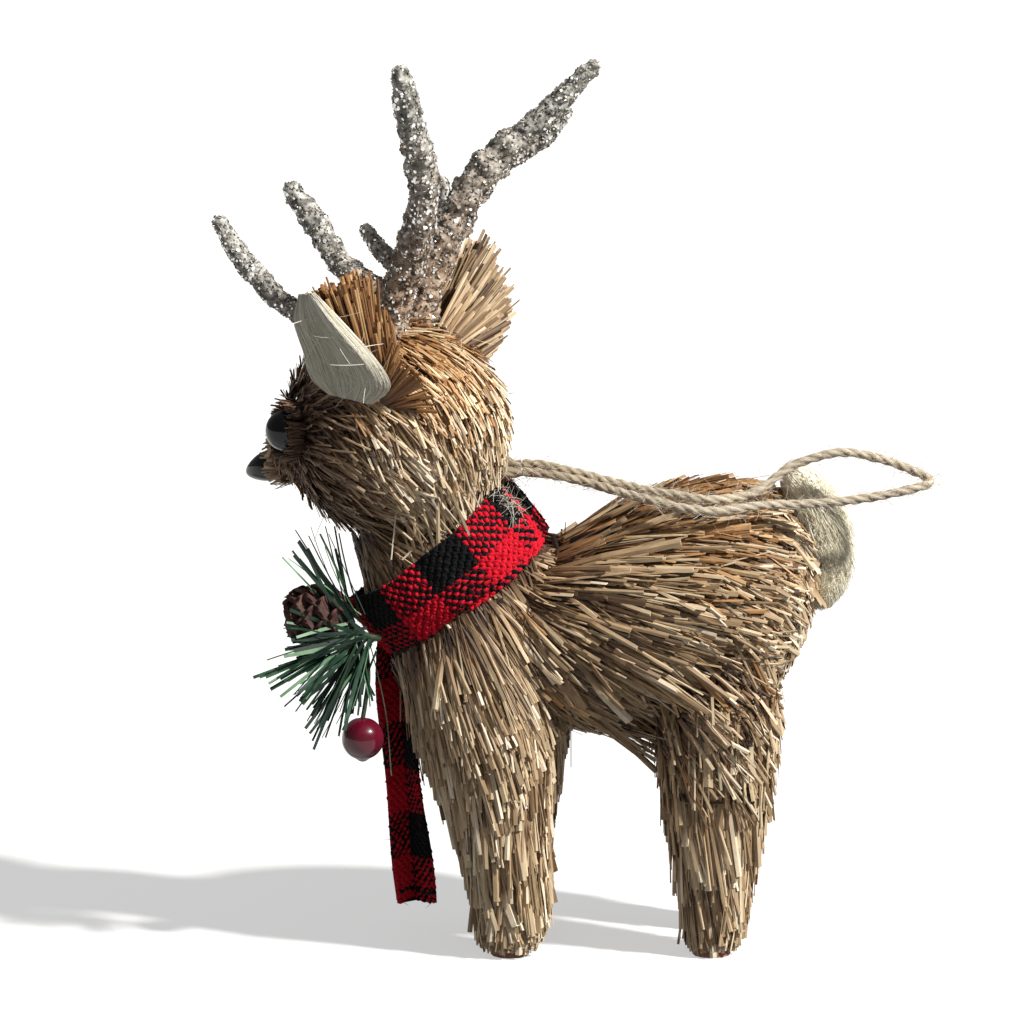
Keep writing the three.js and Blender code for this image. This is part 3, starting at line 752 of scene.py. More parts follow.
def warm_on_top(roots, source):
    """Warmer straw along the top of the back, behind the scarf."""
    warm = np.clip((roots[:, 2] - 73) / 10, 0, 1) * np.clip((42 - roots[:, 0]) / 24, 0, 1)
    return (source.random(len(roots)) < 0.8 * warm + 0.06).astype(int)


def trunk_lengths(roots):
    back = np.clip((roots[:, 0] - 5) / 45, 0, 1)
    return 10 - 4 * back, 29 - 12 * back


def trunk_middle(roots):
    """Paler towards the rump."""
    return 0.42 + 0.28 * np.clip((roots[:, 0] - 22) / 28, 0, 1)


def hip_keep(roots, aims, length, source):
    """Only the straws round the top of a back leg that belong to the outside."""
    return (roots[:, 2] > 40) & (np.abs(roots[:, 1]) > 9), length


legs = [level_grid(BACK_LEG, side, -0.4) for side in (-1, 1)]
trunk_layer = (11300, trunk_grid(-2.9), trunk_grid(-3.8), trunk_grid(-0.5), *legs)
torso = coat("torso_coat", [trunk_layer], trunk_flow, trunk_lengths, 0.075, trunk_cull, middle=trunk_middle,
             material=warm_on_top, widths=(0.36, 1.5), clump=0.26, spread=0.14)
for side in (-1, 1):
    # The top of a back leg. The trunk's dark bed, a sheet of painted shade, is under it,
    # so its own is only a ring inside the leg.
    hip = level_grid(BACK_LEG, side, -1.2)
    hip_layer = (1300, hip[20:38], hip[20:22] * 0.999, trunk_grid(-0.2), *legs)
    torso += coat(f"hip {side}", [hip_layer], trunk_flow, (9, 19), 0.1, hip_keep, middle=0.5,
                  widths=(0.36, 1.3), loft=(-0.8, 1.2))
build("torso_coat", torso, COAT_LOOKS, replaced=["torso_straw"])


# How far the chest straws hang down over the front legs, as stations added under the chest
SKIRT = [(14, -5.2, 0, 8.8, 20), (28, -6.6, 0, 12, 20.6)]


def chest_flow(points):
    """Down from the scarf, leaning back more towards the shoulder's rear."""
    height = np.clip((points[:, 2] - 38) / 35, 0, 1)
    lean = (0.18 + 0.014 * (points[:, 0] + 20)) * (0.35 + height)
    return unit(np.stack([lean, 0 * lean, -1 + 0 * lean], 1))


def chest_keep(roots, aims, length, source):
    """Straw stays off the band and out of the furrow that the scarf's end hangs in."""
    furrow = (roots[:, 0] < -20) & (np.abs(roots[:, 1] - 0.8) < 3.2) & (roots[:, 2] < 56)
    return ~above_band(roots) & ~furrow, length


chest_skin = level_grid(SKIRT + CHEST, grow=-0.4)
chest_layer = (7500, level_grid(CHEST, grow=-2.8), level_grid(CHEST, grow=-3.7), chest_skin)
chest = coat("chest_coat", [chest_layer], chest_flow, (9, 26), 0.06, chest_keep, middle=0.52, seed=5,
             spread=0.09)


def fringe(count, skin):
    """Long straws that leave from under the band's lower edge, all the way round."""
    source = dice("fringe")
    angle = source.uniform(0, 2 * math.pi, count)
    radius = NECK["radius"] - source.uniform(0.2, 3.2, count)
    height = source.uniform(-8, -4.5, count)
    local = np.stack([radius * np.cos(angle), NECK["flatten"] * radius * np.sin(angle), height], 1)
    outward = np.stack([np.cos(angle), np.sin(angle) / NECK["flatten"], 0 * angle], 1)
    roots, normals = from_neck(local), unit(outward) @ NECK_AXES
    down = -NECK_AXES[2]
    back = np.clip(roots[:, 0] + 14, 0, None)[:, None] / 14
    aims = unit(down + np.array((0.55, 0, 0.35)) * back + np.array((-0.12, 0, -0.25)) * (1 - back))
    aims = unit(aims + normals * source.uniform(0.1, 0.3, (count, 1)) + source.normal(0, 0.07, (count, 3)))
    clear = ~((roots[:, 0] < -24) & (np.abs(roots[:, 1] - 0.8) < 4))
    roots, aims, normals = roots[clear], aims[clear], normals[clear]
    n = len(roots)
    return straws(roots, aims, normals, sizes(source, n, 14, 28), sizes(source, n, 0.35, 1.0),
                  straw_tone(roots, source, 0.55), source, curl=0.1, wander=0.03, tree=skin_tree(skin),
                  tops=sizes(source, n, -0.5, 1.6))


chest.append(fringe(1500, chest_skin))
build("chest_coat", chest, COAT_LOOKS, replaced=["chest_straw"])


def leg_flow(points):
    return np.array((0.08, 0, -1.0)) + 0 * points


def foot_trim(centre):
    """Straws end in a rounded, uneven edge just above the core's cut end."""
    def trim(roots, aims, length, source):
        tips = roots + aims * length[:, None]
        reach = np.hypot(tips[:, 0] - centre[0], tips[:, 1] - centre[1])
        lowest = 0.5 + 0.95 * np.clip(reach - 3.8, 0, None) + 1.4 * source.random(len(roots)) ** 2
        room = (roots[:, 2] - lowest) / np.maximum(-aims[:, 2], 0.3)
        return room > 2, np.minimum(length, room)
    return trim


def leg_coat(label, stations, side):
    raised = [(max(z, 2.2), x, y, a, b) for z, x, y, a, b in stations]
    roots, skin = (level_grid(stations, side, grow) for grow in (-2.5, -0.6))
    layer = (3600, roots, level_grid(raised, side, -3.4), skin)
    trim = foot_trim((stations[0][1], side * stations[0][2]))
    leg = coat(label, [layer], leg_flow, (9, 28), 0.045, trim, middle=0.51, seed=17 + len(label), clump=0.13,
               spread=0.08)
    build(label + "_coat", leg, COAT_LOOKS, replaced=[label + "_straw"])


for end, stations in (("front", FRONT_LEG), ("back", BACK_LEG)):
    for name, side in (("left", -1), ("right", 1)):
        leg_coat(f"{end}_{name}_leg", stations, side)


# ---- Head ----

def head_flow(points):
    """Away from the eyes and the muzzle in front, then back and down over the cheek and the nape."""
    local = to_head(points)
    behind = np.clip((9 - local[:, 0]) / 16, 0, 1)
    crown = np.clip((local[:, 2] - 6) / 12, 0, 1)
    turn = np.radians(16 + 38 * behind - 16 * crown)
    back = np.stack([-np.cos(turn), 0 * turn, -np.sin(turn)], 1)
    middle = np.stack([22 + 0 * turn, 7 * np.tanh(local[:, 1] / 5), -3 + 0 * turn], 1)
    share = np.clip((local[:, 0] - 1) / 9, 0, 1)[:, None]
    return (unit(local - middle) * share + back * (1 - share)) @ HEAD_AXES


def head_tilt(points):
    """Straws stand out on the face and lie down behind."""
    return np.interp(to_head(points)[:, 0], (-10, 6, 16, 24), (0.08, 0.16, 0.4, 0.6))


EYE_PLACES = [np.array((EYE["forward"], side * EYE["out"], EYE["up"])) for side in (1, -1)]


def from_eyes(points):
    """How far each point is from the nearer eye's middle."""
    local = to_head(points)
    return np.min([np.linalg.norm(local - place, axis=1) for place in EYE_PLACES], axis=0)


def head_lengths(points):
    """Long behind, short on the face, and shortest round the eyes and the nose."""
    low = np.interp(to_head(points)[:, 0], (-10, 6, 12, 20, 26), (9.5, 7, 4.4, 2.6, 1.5))
    low = low * np.interp(from_eyes(points), (4.5, 9), (0.4, 1))
    low = low * np.interp(to_head(points)[:, 2], (-18, -9), (1.5, 1))
    return 0.8 * low, low * 1.9


def head_loft(points):
    """The coat's heights: bristly on the face, sunk round the eyes."""
    forward = to_head(points)[:, 0]
    top = np.interp(forward, (-5, 10, 18, 25), (0.6, 1.2, 0.8, 0.5))
    top = np.minimum(top, np.interp(from_eyes(points), (4.5, 8), (-1.0, 1.2)))
    return np.minimum(-1.7, top - 0.4), top


def head_kinds(points, source):
    """Straw of the face, darkened as painted shade, in front; body straw behind; warm straw on the crown
    between the ears.
    """
    local = to_head(points)
    kinds = np.zeros(len(points), int)
    face = np.interp(local[:, 0], (-8, 8, 22, 26), (0.05, 0.95, 0.95, 0.3))
    kinds[source.random(len(points)) < face] = 2
    warm = np.clip((local[:, 2] - 6) / 8, 0, 1) * np.clip((local[:, 1] + 8) / 10, 0, 1)
    warm = warm * np.clip((8 - local[:, 0]) / 6, 0, 1) * np.clip((local[:, 0] + 19) / 6, 0, 1)
    kinds[source.random(len(points)) < warm] = 1
    return kinds


def head_cull(roots, aims, length, source):
    """Straw stays off the eyes, the nose and the band."""
    keep = from_eyes(roots) > EYE["radius"] + 0.1
    nose = np.array(NOSE["base"]) + (3.6, 0, -1.2)
    for share in (0, 0.35, 0.7, 1.0):
        points = roots + aims * (share * length)[:, None]
        keep &= from_eyes(points) > EYE["radius"] + 0.1
        keep &= np.linalg.norm(to_head(points) - nose, axis=1) > NOSE["radius"] + 0.7
        if share:
            keep &= ~under_band(points, -0.6)
    return keep, length


def head_layer(count, centre, radii):
    """Straw on one ball of the head. Where it hangs off the ball, it lies on the neck."""
    balls = (from_head(ball_grid(centre, radii, grow)) for grow in (-2.4, -3.2, -0.3))
    return (count, *balls, neck_grid(-10, 12, 0.5))


def stray_hairs(grid, count, source, length=(6, 14)):
    """Fine pale threads of dried glue and fibre that lie loosely on a surface."""
    points, normals = scatter(grid, count, source)
    tone = sizes(source, count, 0.85, 1.0)
    return fuzz(points, normals, source, length, (0.07, 0.13), tone, lie=0.85, curl=0.35)


def head_middle(points):
    """Paler behind and at the tip of the muzzle."""
    return np.interp(to_head(points)[:, 0], (-10, 6, 20, 25), (0.66, 0.5, 0.48, 0.85))


def bristles(count, centre, axis, radii, lengths, tone, source):
    """Short stiff bristles in a ring round an axis, all in the head's frame."""
    axis = unit(np.array(axis, float))
    side = unit(np.cross(axis, (0, 0, 1)))
    angle = source.uniform(0, 2 * math.pi, count)[:, None]
    ring = side * np.cos(angle) + np.cross(side, axis) * np.sin(angle)
    roots = np.array(centre) + ring * source.uniform(*radii, (count, 1))
    roots = roots - axis * source.uniform(0, 0.8, (count, 1))
    aims = unit(axis + 0.16 * ring + source.normal(0, 0.13, (count, 3)))
    made = straws(from_head(roots), aims @ HEAD_AXES, ring @ HEAD_AXES, sizes(source, count, *lengths),
                  sizes(source, count, 0.25, 0.65), source.normal(tone, 0.14, count), source, curl=-0.1)
    # The bristles take the straw of the face, with its painted shade.
    made["material"] = 2
    return made


def head_parts():
    layers = [head_layer(10500, (0, 0, 0), SKULL), head_layer(2900, MUZZLE["centre"], MUZZLE["radii"])]
    parts = coat("head_coat", layers, head_flow, head_lengths, head_tilt, head_cull, middle=head_middle,
                 seed=31, material=head_kinds, widths=(0.36, 1.0), clump=0.19, spread=0.12, loft=head_loft)
    source = dice("bristles")
    nose = np.array(NOSE["base"]) - (3.6, 0, -1.1)
    parts.append(bristles(260, nose, (1, 0, -0.1), (2.9, 4.6), (2, 3.5), 0.85, source))
    lids = (EYE["radius"] + 0.35, EYE["radius"] + 1.6)
    for place in EYE_PLACES:
        parts.append(bristles(260, place * 0.93, place, lids, (2, 3.8), 0.42, source))
    cheeks = from_head(ball_grid((0, 0, 0), SKULL, 0.3)[5:19])
    parts.append(stray_hairs(cheeks, 50, source, (4, 10)))
    return parts


build("head_coat", head_parts(), COAT_LOOKS, replaced=["head_straw"])


def neck_flow(points):
    return -NECK_AXES[2] + 0 * points


neck_layer = (3600, neck_grid(3, 15, -1.9), neck_grid(-10, 15, -2.8), neck_grid(-10, 18, 0))
# The neck's straw takes a darker middle tone: painted shade under the head.
neck = coat("neck_coat", [neck_layer], neck_flow, (6, 11), 0.08, middle=0.36, seed=41, widths=(0.4, 0.9),
            loft=(-1.4, 0))
build("neck_coat", neck, COAT_LOOKS, replaced=["neck_straw"])


bead_look = gloss_look("bead", (0.002, 0.002, 0.003), (0.010, 0.012, 0.018), 300, roughness=0.05, coat=0.12)
# The rim round each eye: a dark grey a little paler than the bead, a painted reflection at the bead's edge.
rim_reflection_look = rough_look("eye rim with painted reflection", [(0.3, (0.01, 0.01, 0.012)), (0.7, (0.05, 0.05, 0.055))], 900)


def eye_parts(place):
    """A glass bead in a thin dark-grey rim, a little paler than the bead: a painted reflection round its
    edge.
    """
    ball = grid_part(from_head(ball_grid(place, (EYE["radius"],) * 3, 0, 28, 36)))
    outward = unit(place - np.array((6, 0, -1)))
    side = unit(np.cross(outward, (0, 0, 1)))
    ring = place + outward * 0.4 + 3.95 * spokes(side, np.cross(side, outward), 48)
    return [ball, tube(from_head(ring), 0.13, 6, material=1)]


for name, place in zip(("left", "right"), EYE_PLACES):
    build(f"{name}_eye_bead", eye_parts(place), [bead_look, rim_reflection_look], replaced=[f"{name}_eye"])


def turned(profile, length, radius, rows, sides):
    """Rings of a turned shape: distance along the axis, then two directions across it."""
    line = smooth_line([(x * length, 0, 0, r * radius) for x, r in profile], rows)
    angle = turns(sides)
    return np.stack([line[:, 0, None] + 0 * angle, line[:, 3, None] * np.cos(angle),
                     line[:, 3, None] * np.sin(angle)], -1)


def nose_part():
    """A rounded cone, blunt in front, that droops a little."""
    profile = [(-0.4, 0.5), (-0.1, 0.8), (0, 0.95), (0.15, 1), (0.37, 0.92), (0.6, 0.74), (0.8, 0.52),
               (0.93, 0.31), (1, 0.09)]
    grid = turned(profile, NOSE["length"], NOSE["radius"], 30, 32) * (1, 1, 0.95)
    cos, sin = math.cos(NOSE["droop"]), math.sin(NOSE["droop"])
    turn = np.array([(cos, 0, -sin), (0, 1, 0), (sin, 0, cos)])
    return grid_part(from_head(grid @ turn + NOSE["base"]))


build("nose_button", [nose_part()], [bead_look], replaced=["nose"])


# ---- Ears ----

def fan(count, roots, tips, normal, lengths, tone, source, bulge=1.8, depth=1.3):
    """Straws from a line of roots to a line of tips, in a few layers, bulging along the normal."""
    share = source.random(count)
    end = np.clip(share + source.normal(0, 0.05, count), -0.05, 1.05)
    a = np.array(roots[0]) + (np.array(roots[1]) - roots[0]) * share[:, None]
    b = np.array(tips[0]) + (np.array(tips[1]) - tips[0]) * end[:, None]
    normal = unit(np.array(normal, float))
    offset = (bulge * np.sin(math.pi * share) + source.uniform(-depth, depth, count))[:, None] * normal
    way = b + offset * 1.2 - a - offset * 0.5
    aims = unit(unit(way) + source.normal(0, 0.055, (count, 3)))
    length = np.linalg.norm(way, axis=1) * sizes(source, count, *lengths)
    return straws(a + offset * 0.5, aims, np.broadcast_to(normal, a.shape), length,
                  sizes(source, count, 0.35, 0.95), tone, source, curl=0.08, roll=0.5, rows=4)


def ear_fan(name, fans, look, middle, replaced):
    """An ear's straws: each fan is a count, two roots, two tips, a normal and a range of lengths."""
    source = dice(name)
    parts = []
    for count, *shape in fans:
        tone = straw_tone(np.zeros((count, 3)), source, middle)
        parts.append(fan(count, *shape, tone, source))
    build(name, parts, [look], replaced=[replaced])


ear_fan("left_ear_fan", [
    (330, ((-33, -18.5, 111), (-27.5, -18.5, 110)), ((-41.2, -23.5, 130), (-31.3, -24, 133.3)),
     (0.35, -1, 0.1), (0.8, 1.03)),
    (110, ((-31, -17.5, 109), (-24, -17, 110)), ((-36, -22, 126), (-27, -22, 127)),
     (0.35, -1, 0.1), (0.6, 1.0)),
    (80, ((-29.5, -18.5, 109), (-27, -18.5, 107)), ((-26, -22, 122), (-18, -20.5, 108)),
     (0.3, -1, 0.1), (0.5, 1.0)),
], warm_straw, 0.5, "left_ear_straw")
ear_fan("right_ear_fan", [
    (120, ((-20, -4, 115.5), (-16, -3, 113)), ((-13, 13, 126), (-4, 13, 118)),
     (0.3, -1, 0.4), (0.6, 1.05)),
    (150, ((-27, 9, 114.5), (-23, 9, 115.5)), ((-24, 20, 123), (-17.5, 21.5, 127)),
     (0.6, -1, 0.2), (0.7, 1.05)),
    (230, ((-23, 9, 115.5), (-20, 9.5, 114)), ((-17.5, 21.5, 126.5), (-8.8, 22.5, 133)),
     (0.6, -1, 0.2), (0.8, 1.03)),
    (260, ((-20, 9.5, 114), (-15, 10, 110.5)), ((-9.4, 22.5, 133), (-4.4, 22.5, 119)),
     (0.6, -1, 0.2), (0.8, 1.03)),
    (150, ((-18, 9, 112), (-13, 8.5, 108)), ((-5.5, 21, 121), (-7, 17.5, 112.5)),
     (0.6, -1, 0.2), (0.7, 1.05)),
], body_straw, 0.56, "right_ear_straw")


def patch(corner_lines, bulge, normal, rows=26, count=30, thickness=0.7):
    """A closed cupped leaf between two edge lines."""
    left, right = (smooth_line(line, rows) for line in corner_lines)
    share = np.linspace(0, 1, count)
    normal = unit(np.array(normal, float))
    sheets = []
    for offset in (0, -thickness):
        base = left[:, None] * (1 - share)[:, None] + right[:, None] * share[:, None]
        lift = bulge(np.linspace(0, 1, rows)[:, None], share[None]) + offset
        sheets.append(base + lift[..., None] * normal)
    return np.concatenate([sheets[0], sheets[1][:, ::-1]], 1)


def combed(grid, count, source, steps=7):
    """Fine fibres laid along the columns of a leaf's outer sheet."""
    rows, half = grid.shape[0], grid.shape[1] // 2
    sheet, back = grid[:, :half], grid[:, ::-1][:, :half]
    share = np.linspace(0, 1, steps)
    column = source.uniform(0, half - 1.001, count)
    start = source.uniform(-0.02, 0.8, count) * (rows - 1)
    span = source.uniform(0.25, 0.6, count) * (rows - 1)
    place = np.clip(start[:, None] + span[:, None] * share, 0, rows - 1.001)
    column = np.clip(column[:, None] + source.normal(0, 0.7, (count, 1)) * share, 0, half - 1.001)
    spine, normal = on_grid(sheet, place, column)
    i, j = place.astype(int), column.astype(int)
    outward = np.einsum("nkj,nkj->nk", normal, sheet[i, j] - back[i, j])
    normal = normal * np.where(outward < 0, -1, 1)[..., None]
    spine = spine + normal * (0.12 * source.uniform(0, 1.6, (count, 1, 1)))
    keep = np.linalg.norm(spine[:, -1] - spine[:, 0], axis=1) > 2
    spine, normal = spine[keep], normal[keep]
    n = len(spine)
    aims = unit(spine[:, -1] - spine[:, 0])
    flats = unit(np.cross(aims, normal[:, 0]))
    widths = source.uniform(0.12, 0.30, n)
    taper = np.interp(share, (0, 0.5, 1), (0.5, 1, 0.4))
    return strips(spine, flats, unit(np.cross(flats, aims)), widths, 0.5, taper,
                  sisal_tone(source, n, 0.55, 0.2), np.full(n, 8.0))


def sisal_tone(source, count, middle, spread):
    return np.clip(source.normal(middle, spread, count), 0, 1)


def ear_lining(name, left, right, bulge, normal, replaced, count=1500):
    source = dice(name)
    leaf = patch((left, right), bulge, normal)
    fibres = combed(leaf, count, source)
    hairs = stray_hairs(leaf[4:-4, 3:27], 40, source, (4, 10))
    build(name, [grid_part(leaf, tone=0.35), fibres, hairs], [sisal], replaced=[replaced])


def near_bulge(v, u):
    """A shallow cup with a rolled edge along the back."""
    rolled = 3.2 * np.exp(-((u - 0.84) / 0.15) ** 2) * np.sin(math.pi * np.clip(v, 0.05, 0.98)) ** 0.6
    cup = 1.1 * np.exp(-((u - 0.48) / 0.2) ** 2) * np.sin(math.pi * v)
    return np.sin(math.pi * u) + rolled - cup


def far_bulge(v, u):
    """A plain hollow."""
    return -1.6 * np.sin(math.pi * u)


ear_lining(
    "left_ear_sisal",
    [(-43.2, -26, 129.9), (-44.2, -25, 124.5), (-42.6, -22.5, 118.6), (-41.2, -19.5, 113),
     (-38, -18.7, 109.8)],
    [(-40.3, -27.5, 130.4), (-34.4, -27.8, 124.2), (-28.5, -26.5, 117.3), (-26.3, -24, 112),
     (-29.8, -21, 108.3)],
    near_bulge, (-0.2, -1, 0.12), "left_ear_lining",
)
ear_lining(
    "right_ear_sisal",
    [(-16.5, 26, 131), (-18.5, 22, 126), (-20.5, 17, 119), (-22, 11.5, 111)],
    [(-9.5, 28.6, 128), (-10, 26, 122), (-11, 20, 115), (-13.5, 13, 108)],
    far_bulge, (-0.75, -0.1, 0.15), "right_ear_lining", 1100,
)


# ---- Tail ----

def tail_puff(count=3800):
    """Combed fibre over a slimmer body, swept down and out."""
    source = dice("tail")
    grid, skin = (level_grid(TAIL, 1, grow, 30, 40) for grow in (-0.4, 0))
    body = level_grid([(z, x, y, 0.78 * a, 0.78 * b) for z, x, y, a, b in TAIL], 1, 0, 30, 40)
    roots, normals = scatter(grid, count, source)
    flow = np.stack([0.35 + 0.03 * (roots[:, 2] - 78), 0 * roots[:, 0], -np.ones(count)], 1)
    flow = along_surface(flow, normals)
    swing = 0.18 * waves(roots, 12, 5)[:, None] + source.normal(0, 0.1, (count, 1))
    side = np.cross(normals, flow)
    aims = flow * np.cos(swing) + side * np.sin(swing) + normals * source.uniform(0, 0.1, (count, 1))
    length = np.minimum(sizes(source, count, 6, 15), np.clip((roots[:, 2] - 64.5) * 1.2, 1.5, 99))
    strands = straws(roots, aims, normals, length, sizes(source, count, 0.16, 0.34),
                     sisal_tone(source, count, 0.6, 0.16), source, curl=0.16, roll=0.3, rows=5, thickness=0.5,
                     taper=(0.6, 1, 0.35), tree=skin_tree(skin), tops=sizes(source, count, -0.6, 0.7))
    return [grid_part(body, tone=0.6), strands]


build("tail_sisal", tail_puff(), [tail_fibre], replaced=["tail_puff"])


# ---- Antlers ----

GLITTER = [(0.0, (0.16, 0.15, 0.14)), (0.3, (0.42, 0.40, 0.36)), (0.6, (0.72, 0.70, 0.66)),
           (0.85, (0.92, 0.91, 0.88)), (1.0, (1.0, 1.0, 0.98))]
GRAINS = [(0.0, (0.015, 0.012, 0.010)), (0.4, (0.15, 0.12, 0.095)), (0.7, (0.42, 0.38, 0.32)),
          (1.0, (0.82, 0.79, 0.73))]
# Material, flakes in a square millimetre, range of radii, height over the skin, middle and spread of tone
FLAKES = [(1, 0.85, (0.22, 0.44), 0.06, (0.84, 0.2)), (2, 2.4, (0.14, 0.32), 0.0, (0.45, 0.3))]


def antler_bed_look():
    """Painted resin under the glitter: warm brown at the base and pale grey at the tips."""
    look = Look("antler bed", Specular_IOR_Level=0.4)
    mottle = look.noise(look.place(), 650, detail=6)
    browns = [(0.36, (0.055, 0.033, 0.02)), (0.5, (0.30, 0.20, 0.135)), (0.66, (0.56, 0.43, 0.32))]
    greys = [(0.36, (0.07, 0.067, 0.06)), (0.5, (0.36, 0.35, 0.315)), (0.66, (0.70, 0.70, 0.66))]
    climb = look.grey(look.tone(), [(0.25, 0.0), (0.8, 1.0)])
    look.colour(look.mix(look.ramp(mottle, browns), look.ramp(mottle, greys), climb))
    look.roughness(mottle, 0.45, 0.8)
    look.bump(mottle, 0.9, 0.3)
    return look.material


def knobbly_limb(points, name, steps_per_mm=2.2, sides=26):
    """A limb with a lumpy skin and a rounded tip, in the head's frame."""
    length = np.linalg.norm(np.diff(np.array(points)[:, :3], axis=0), axis=1).sum()
    line = smooth_line(points, int(length * steps_per_mm))
    centres, radius = line[:, :3], line[:, 3]
    to_tip = np.clip((length - np.linspace(0, length, len(line))) / (1.3 * radius), 0, 1)
    radius = radius * np.sqrt(np.clip(1 - (1 - to_tip) ** 2, 0.004, 1))
    _, across, up = frames_along(centres)
    ring = spokes(across, up, sides)
    flat = (centres[:, None] + radius[:, None, None] * ring).reshape(-1, 3)
    seed = sum(map(ord, name))
    lump = 0.10 * waves(flat, 7, seed) + 0.09 * waves(flat, 2.6, seed + 1) + 0.06 * waves(flat, 1.3, seed + 2)
    lump = lump.reshape(len(line), sides)
    return centres[:, None] + (radius[:, None] * (1 + lump))[..., None] * ring


def plates(centres, normals, radii, thickness, tone, source, sides=6):
    """Thin many-sided flakes lying near a surface, each turned and tipped at random."""
    n = len(centres)
    tipped = unit(normals + source.normal(0, 0.38, (n, 3)))
    across = unit(np.cross(tipped, source.normal(size=(n, 3))))
    ring = spokes(across, np.cross(tipped, across), sides) * radii[:, None, None]
    low = centres[:, None] + ring
    high = low + (tipped * thickness)[:, None]
    points = np.stack([low, high], 1).reshape(-1, 3)
    index = np.arange(n * 2 * sides).reshape(n, 2, sides)
    a, b = index[:, 0], index[:, 1]
    return part(points, [ring_quads(a, b), a[:, ::-1], b], tone=np.repeat(tone, 2 * sides), smooth=False)


def glitter(grid, name, share):
    """Large bright flakes among small dull grains. Less of both on the small tines."""
    source = dice(name)
    area = len(grid) * 0.45 * 2 * math.pi * 2.3  # rings 0.45 mm apart, about 2.3 mm in radius
    made = []
    for look, density, size, lift, tone in FLAKES:
        count = int(area * density * share)
        points, normals = scatter(grid, count, source)
        radii = size[0] + (size[1] - size[0]) * source.random(count) ** 1.6
        shades = np.clip(source.normal(*tone, count) + 0.1 * waves(points, 8, 77), 0, 1)
        flakes = plates(points + normals * lift, normals, radii, 0.09, shades, source)
        flakes["material"] = look
        made.append(flakes)
    return made


def antler_parts(name, limbs):
    """Every limb's bed and glitter. The bed's tone climbs from its root to its tip."""
    parts = []
    for k, points in enumerate(limbs):
        label = f"{name} antler {k}"
        grid = from_head(knobbly_limb(points, label))
        climb = np.repeat(np.linspace(0.35 * (k > 0), 1, len(grid)), grid.shape[1])
        parts.append(grid_part(grid, tone=np.append(climb, (0, 1))))
        parts += glitter(grid, label, 1.0 if k < 2 else 0.8)
    return parts


antler_looks = [antler_bed_look(), glitter_look("glitter flakes", GLITTER, 0.6, (0.3, 0.14)),
                glitter_look("glitter grains", GRAINS, 0.35, (0.55, 0.35))]
for name, limbs in ANTLERS.items():
    build(f"{name}_antler_glitter", antler_parts(name, limbs), antler_looks,
          replaced=[f"{name}_antler"])


# ---- Scarf: woven yarns over a thin ground cloth ----

PITCH = 0.875  # from yarn to yarn
CHECK = 10  # yarns in one check of the plaid
WAVE = 0.26  # how far a yarn goes over and under the ones it crosses
BLACK_CHECK = (-16.2, -15, 76.6)  # a place on the band in the middle of a black check
TANGLE = (-3.9, -13, 89)  # a place on the band where grey fibres are caught
SCARF_WIDTH = 12.6
COLUMNS = 27  # points across a strip
BAND_ROWS = 240  # points along the band
BAND_START, BAND_TURN = -32, 418  # degrees round the neck
END_ROWS = 100  # points along the hanging end
yarn = yarn_look()
ground = rough_look("scarf ground", [(0.3, (0.006, 0.003, 0.004)), (0.7, (0.05, 0.004, 0.008))], 1500)


def yarn_tubes(spines, normals, radius, tones, sides=6):
    """Closed yarns: (n, steps, 3) spines, flattened a little against the cloth."""
    n, steps = spines.shape[:2]
    tangents = unit(np.gradient(spines, axis=1))
    side = unit(np.cross(tangents, normals))
    ring = spokes(1.15 * side, 0.85 * np.cross(side, tangents), sides)
    points = (spines[:, :, None] + radius * ring).reshape(-1, 3)
    index = np.arange(n * steps * sides).reshape(n, steps, sides)
    faces = [ring_quads(index[:, :-1], index[:, 1:]), index[:, 0, ::-1], index[:, -1]]
    if faces_in(points, faces[0], spines[0, :2].mean(0)):
        faces = [block[:, ::-1] for block in faces]
    strand = np.empty((n, steps, sides, 3))
    strand[..., 0] = turns(sides) * 0.6 + 7.3 * np.arange(n)[:, None, None]
    strand[..., 1] = (np.arange(steps) * PITCH / 3)[:, None]
    strand[..., 2] = 0
    tone = np.broadcast_to(tones[:, None, None], (n, steps, sides)).reshape(-1)
    return part(points, faces, tone=tone, strand=strand.reshape(-1, 3))


def woven(sheet, length, width, source, red_rows, red_columns):
    """Plain weave over a sheet of points. Lengthwise yarns are red where red_rows says, crosswise yarns where
    red_columns says."""
    reach = np.array(sheet.shape[:2]) - 1
    counts = int(width / PITCH), int(length / PITCH)
    parts = []
    for way, is_red, radius in ((0, red_rows, 0.40), (1, red_columns, 0.42)):
        count, crossings = counts[way], counts[1 - way]
        run, lane = np.meshgrid(np.linspace(0, reach[way], crossings * 3 + 1),
                                (np.arange(count) + 0.5) / count * reach[1 - way])
        phase = math.pi * (run / reach[way] * crossings + np.arange(count)[:, None])
        if way == 0:
            lane = np.clip(lane + 0.10 * np.sin(run * 0.9 + 2.1 * lane), 0, reach[1])
        place = (run, lane) if way == 0 else (lane, run)
        points, normals = on_grid(sheet, *place)
        spines = points + normals * (WAVE * np.cos(phase) + 0.1)[..., None]
        spines += source.normal(0, 0.07, spines.shape)
        parts.append(yarn_tubes(spines, normals, radius, is_red(np.arange(count)).astype(float)))
    return parts


def cloth_part(sheet, thickness=0.3):
    """The ground cloth as a thin closed sheet."""
    place = np.meshgrid(*(np.arange(n) * 0.9999 for n in sheet.shape[:2]), indexing="ij")
    _, normals = on_grid(sheet, *place)
    ring = np.concatenate([sheet, (sheet - normals * thickness)[:, ::-1]], 1)
    return grid_part(ring, tone=0.2)


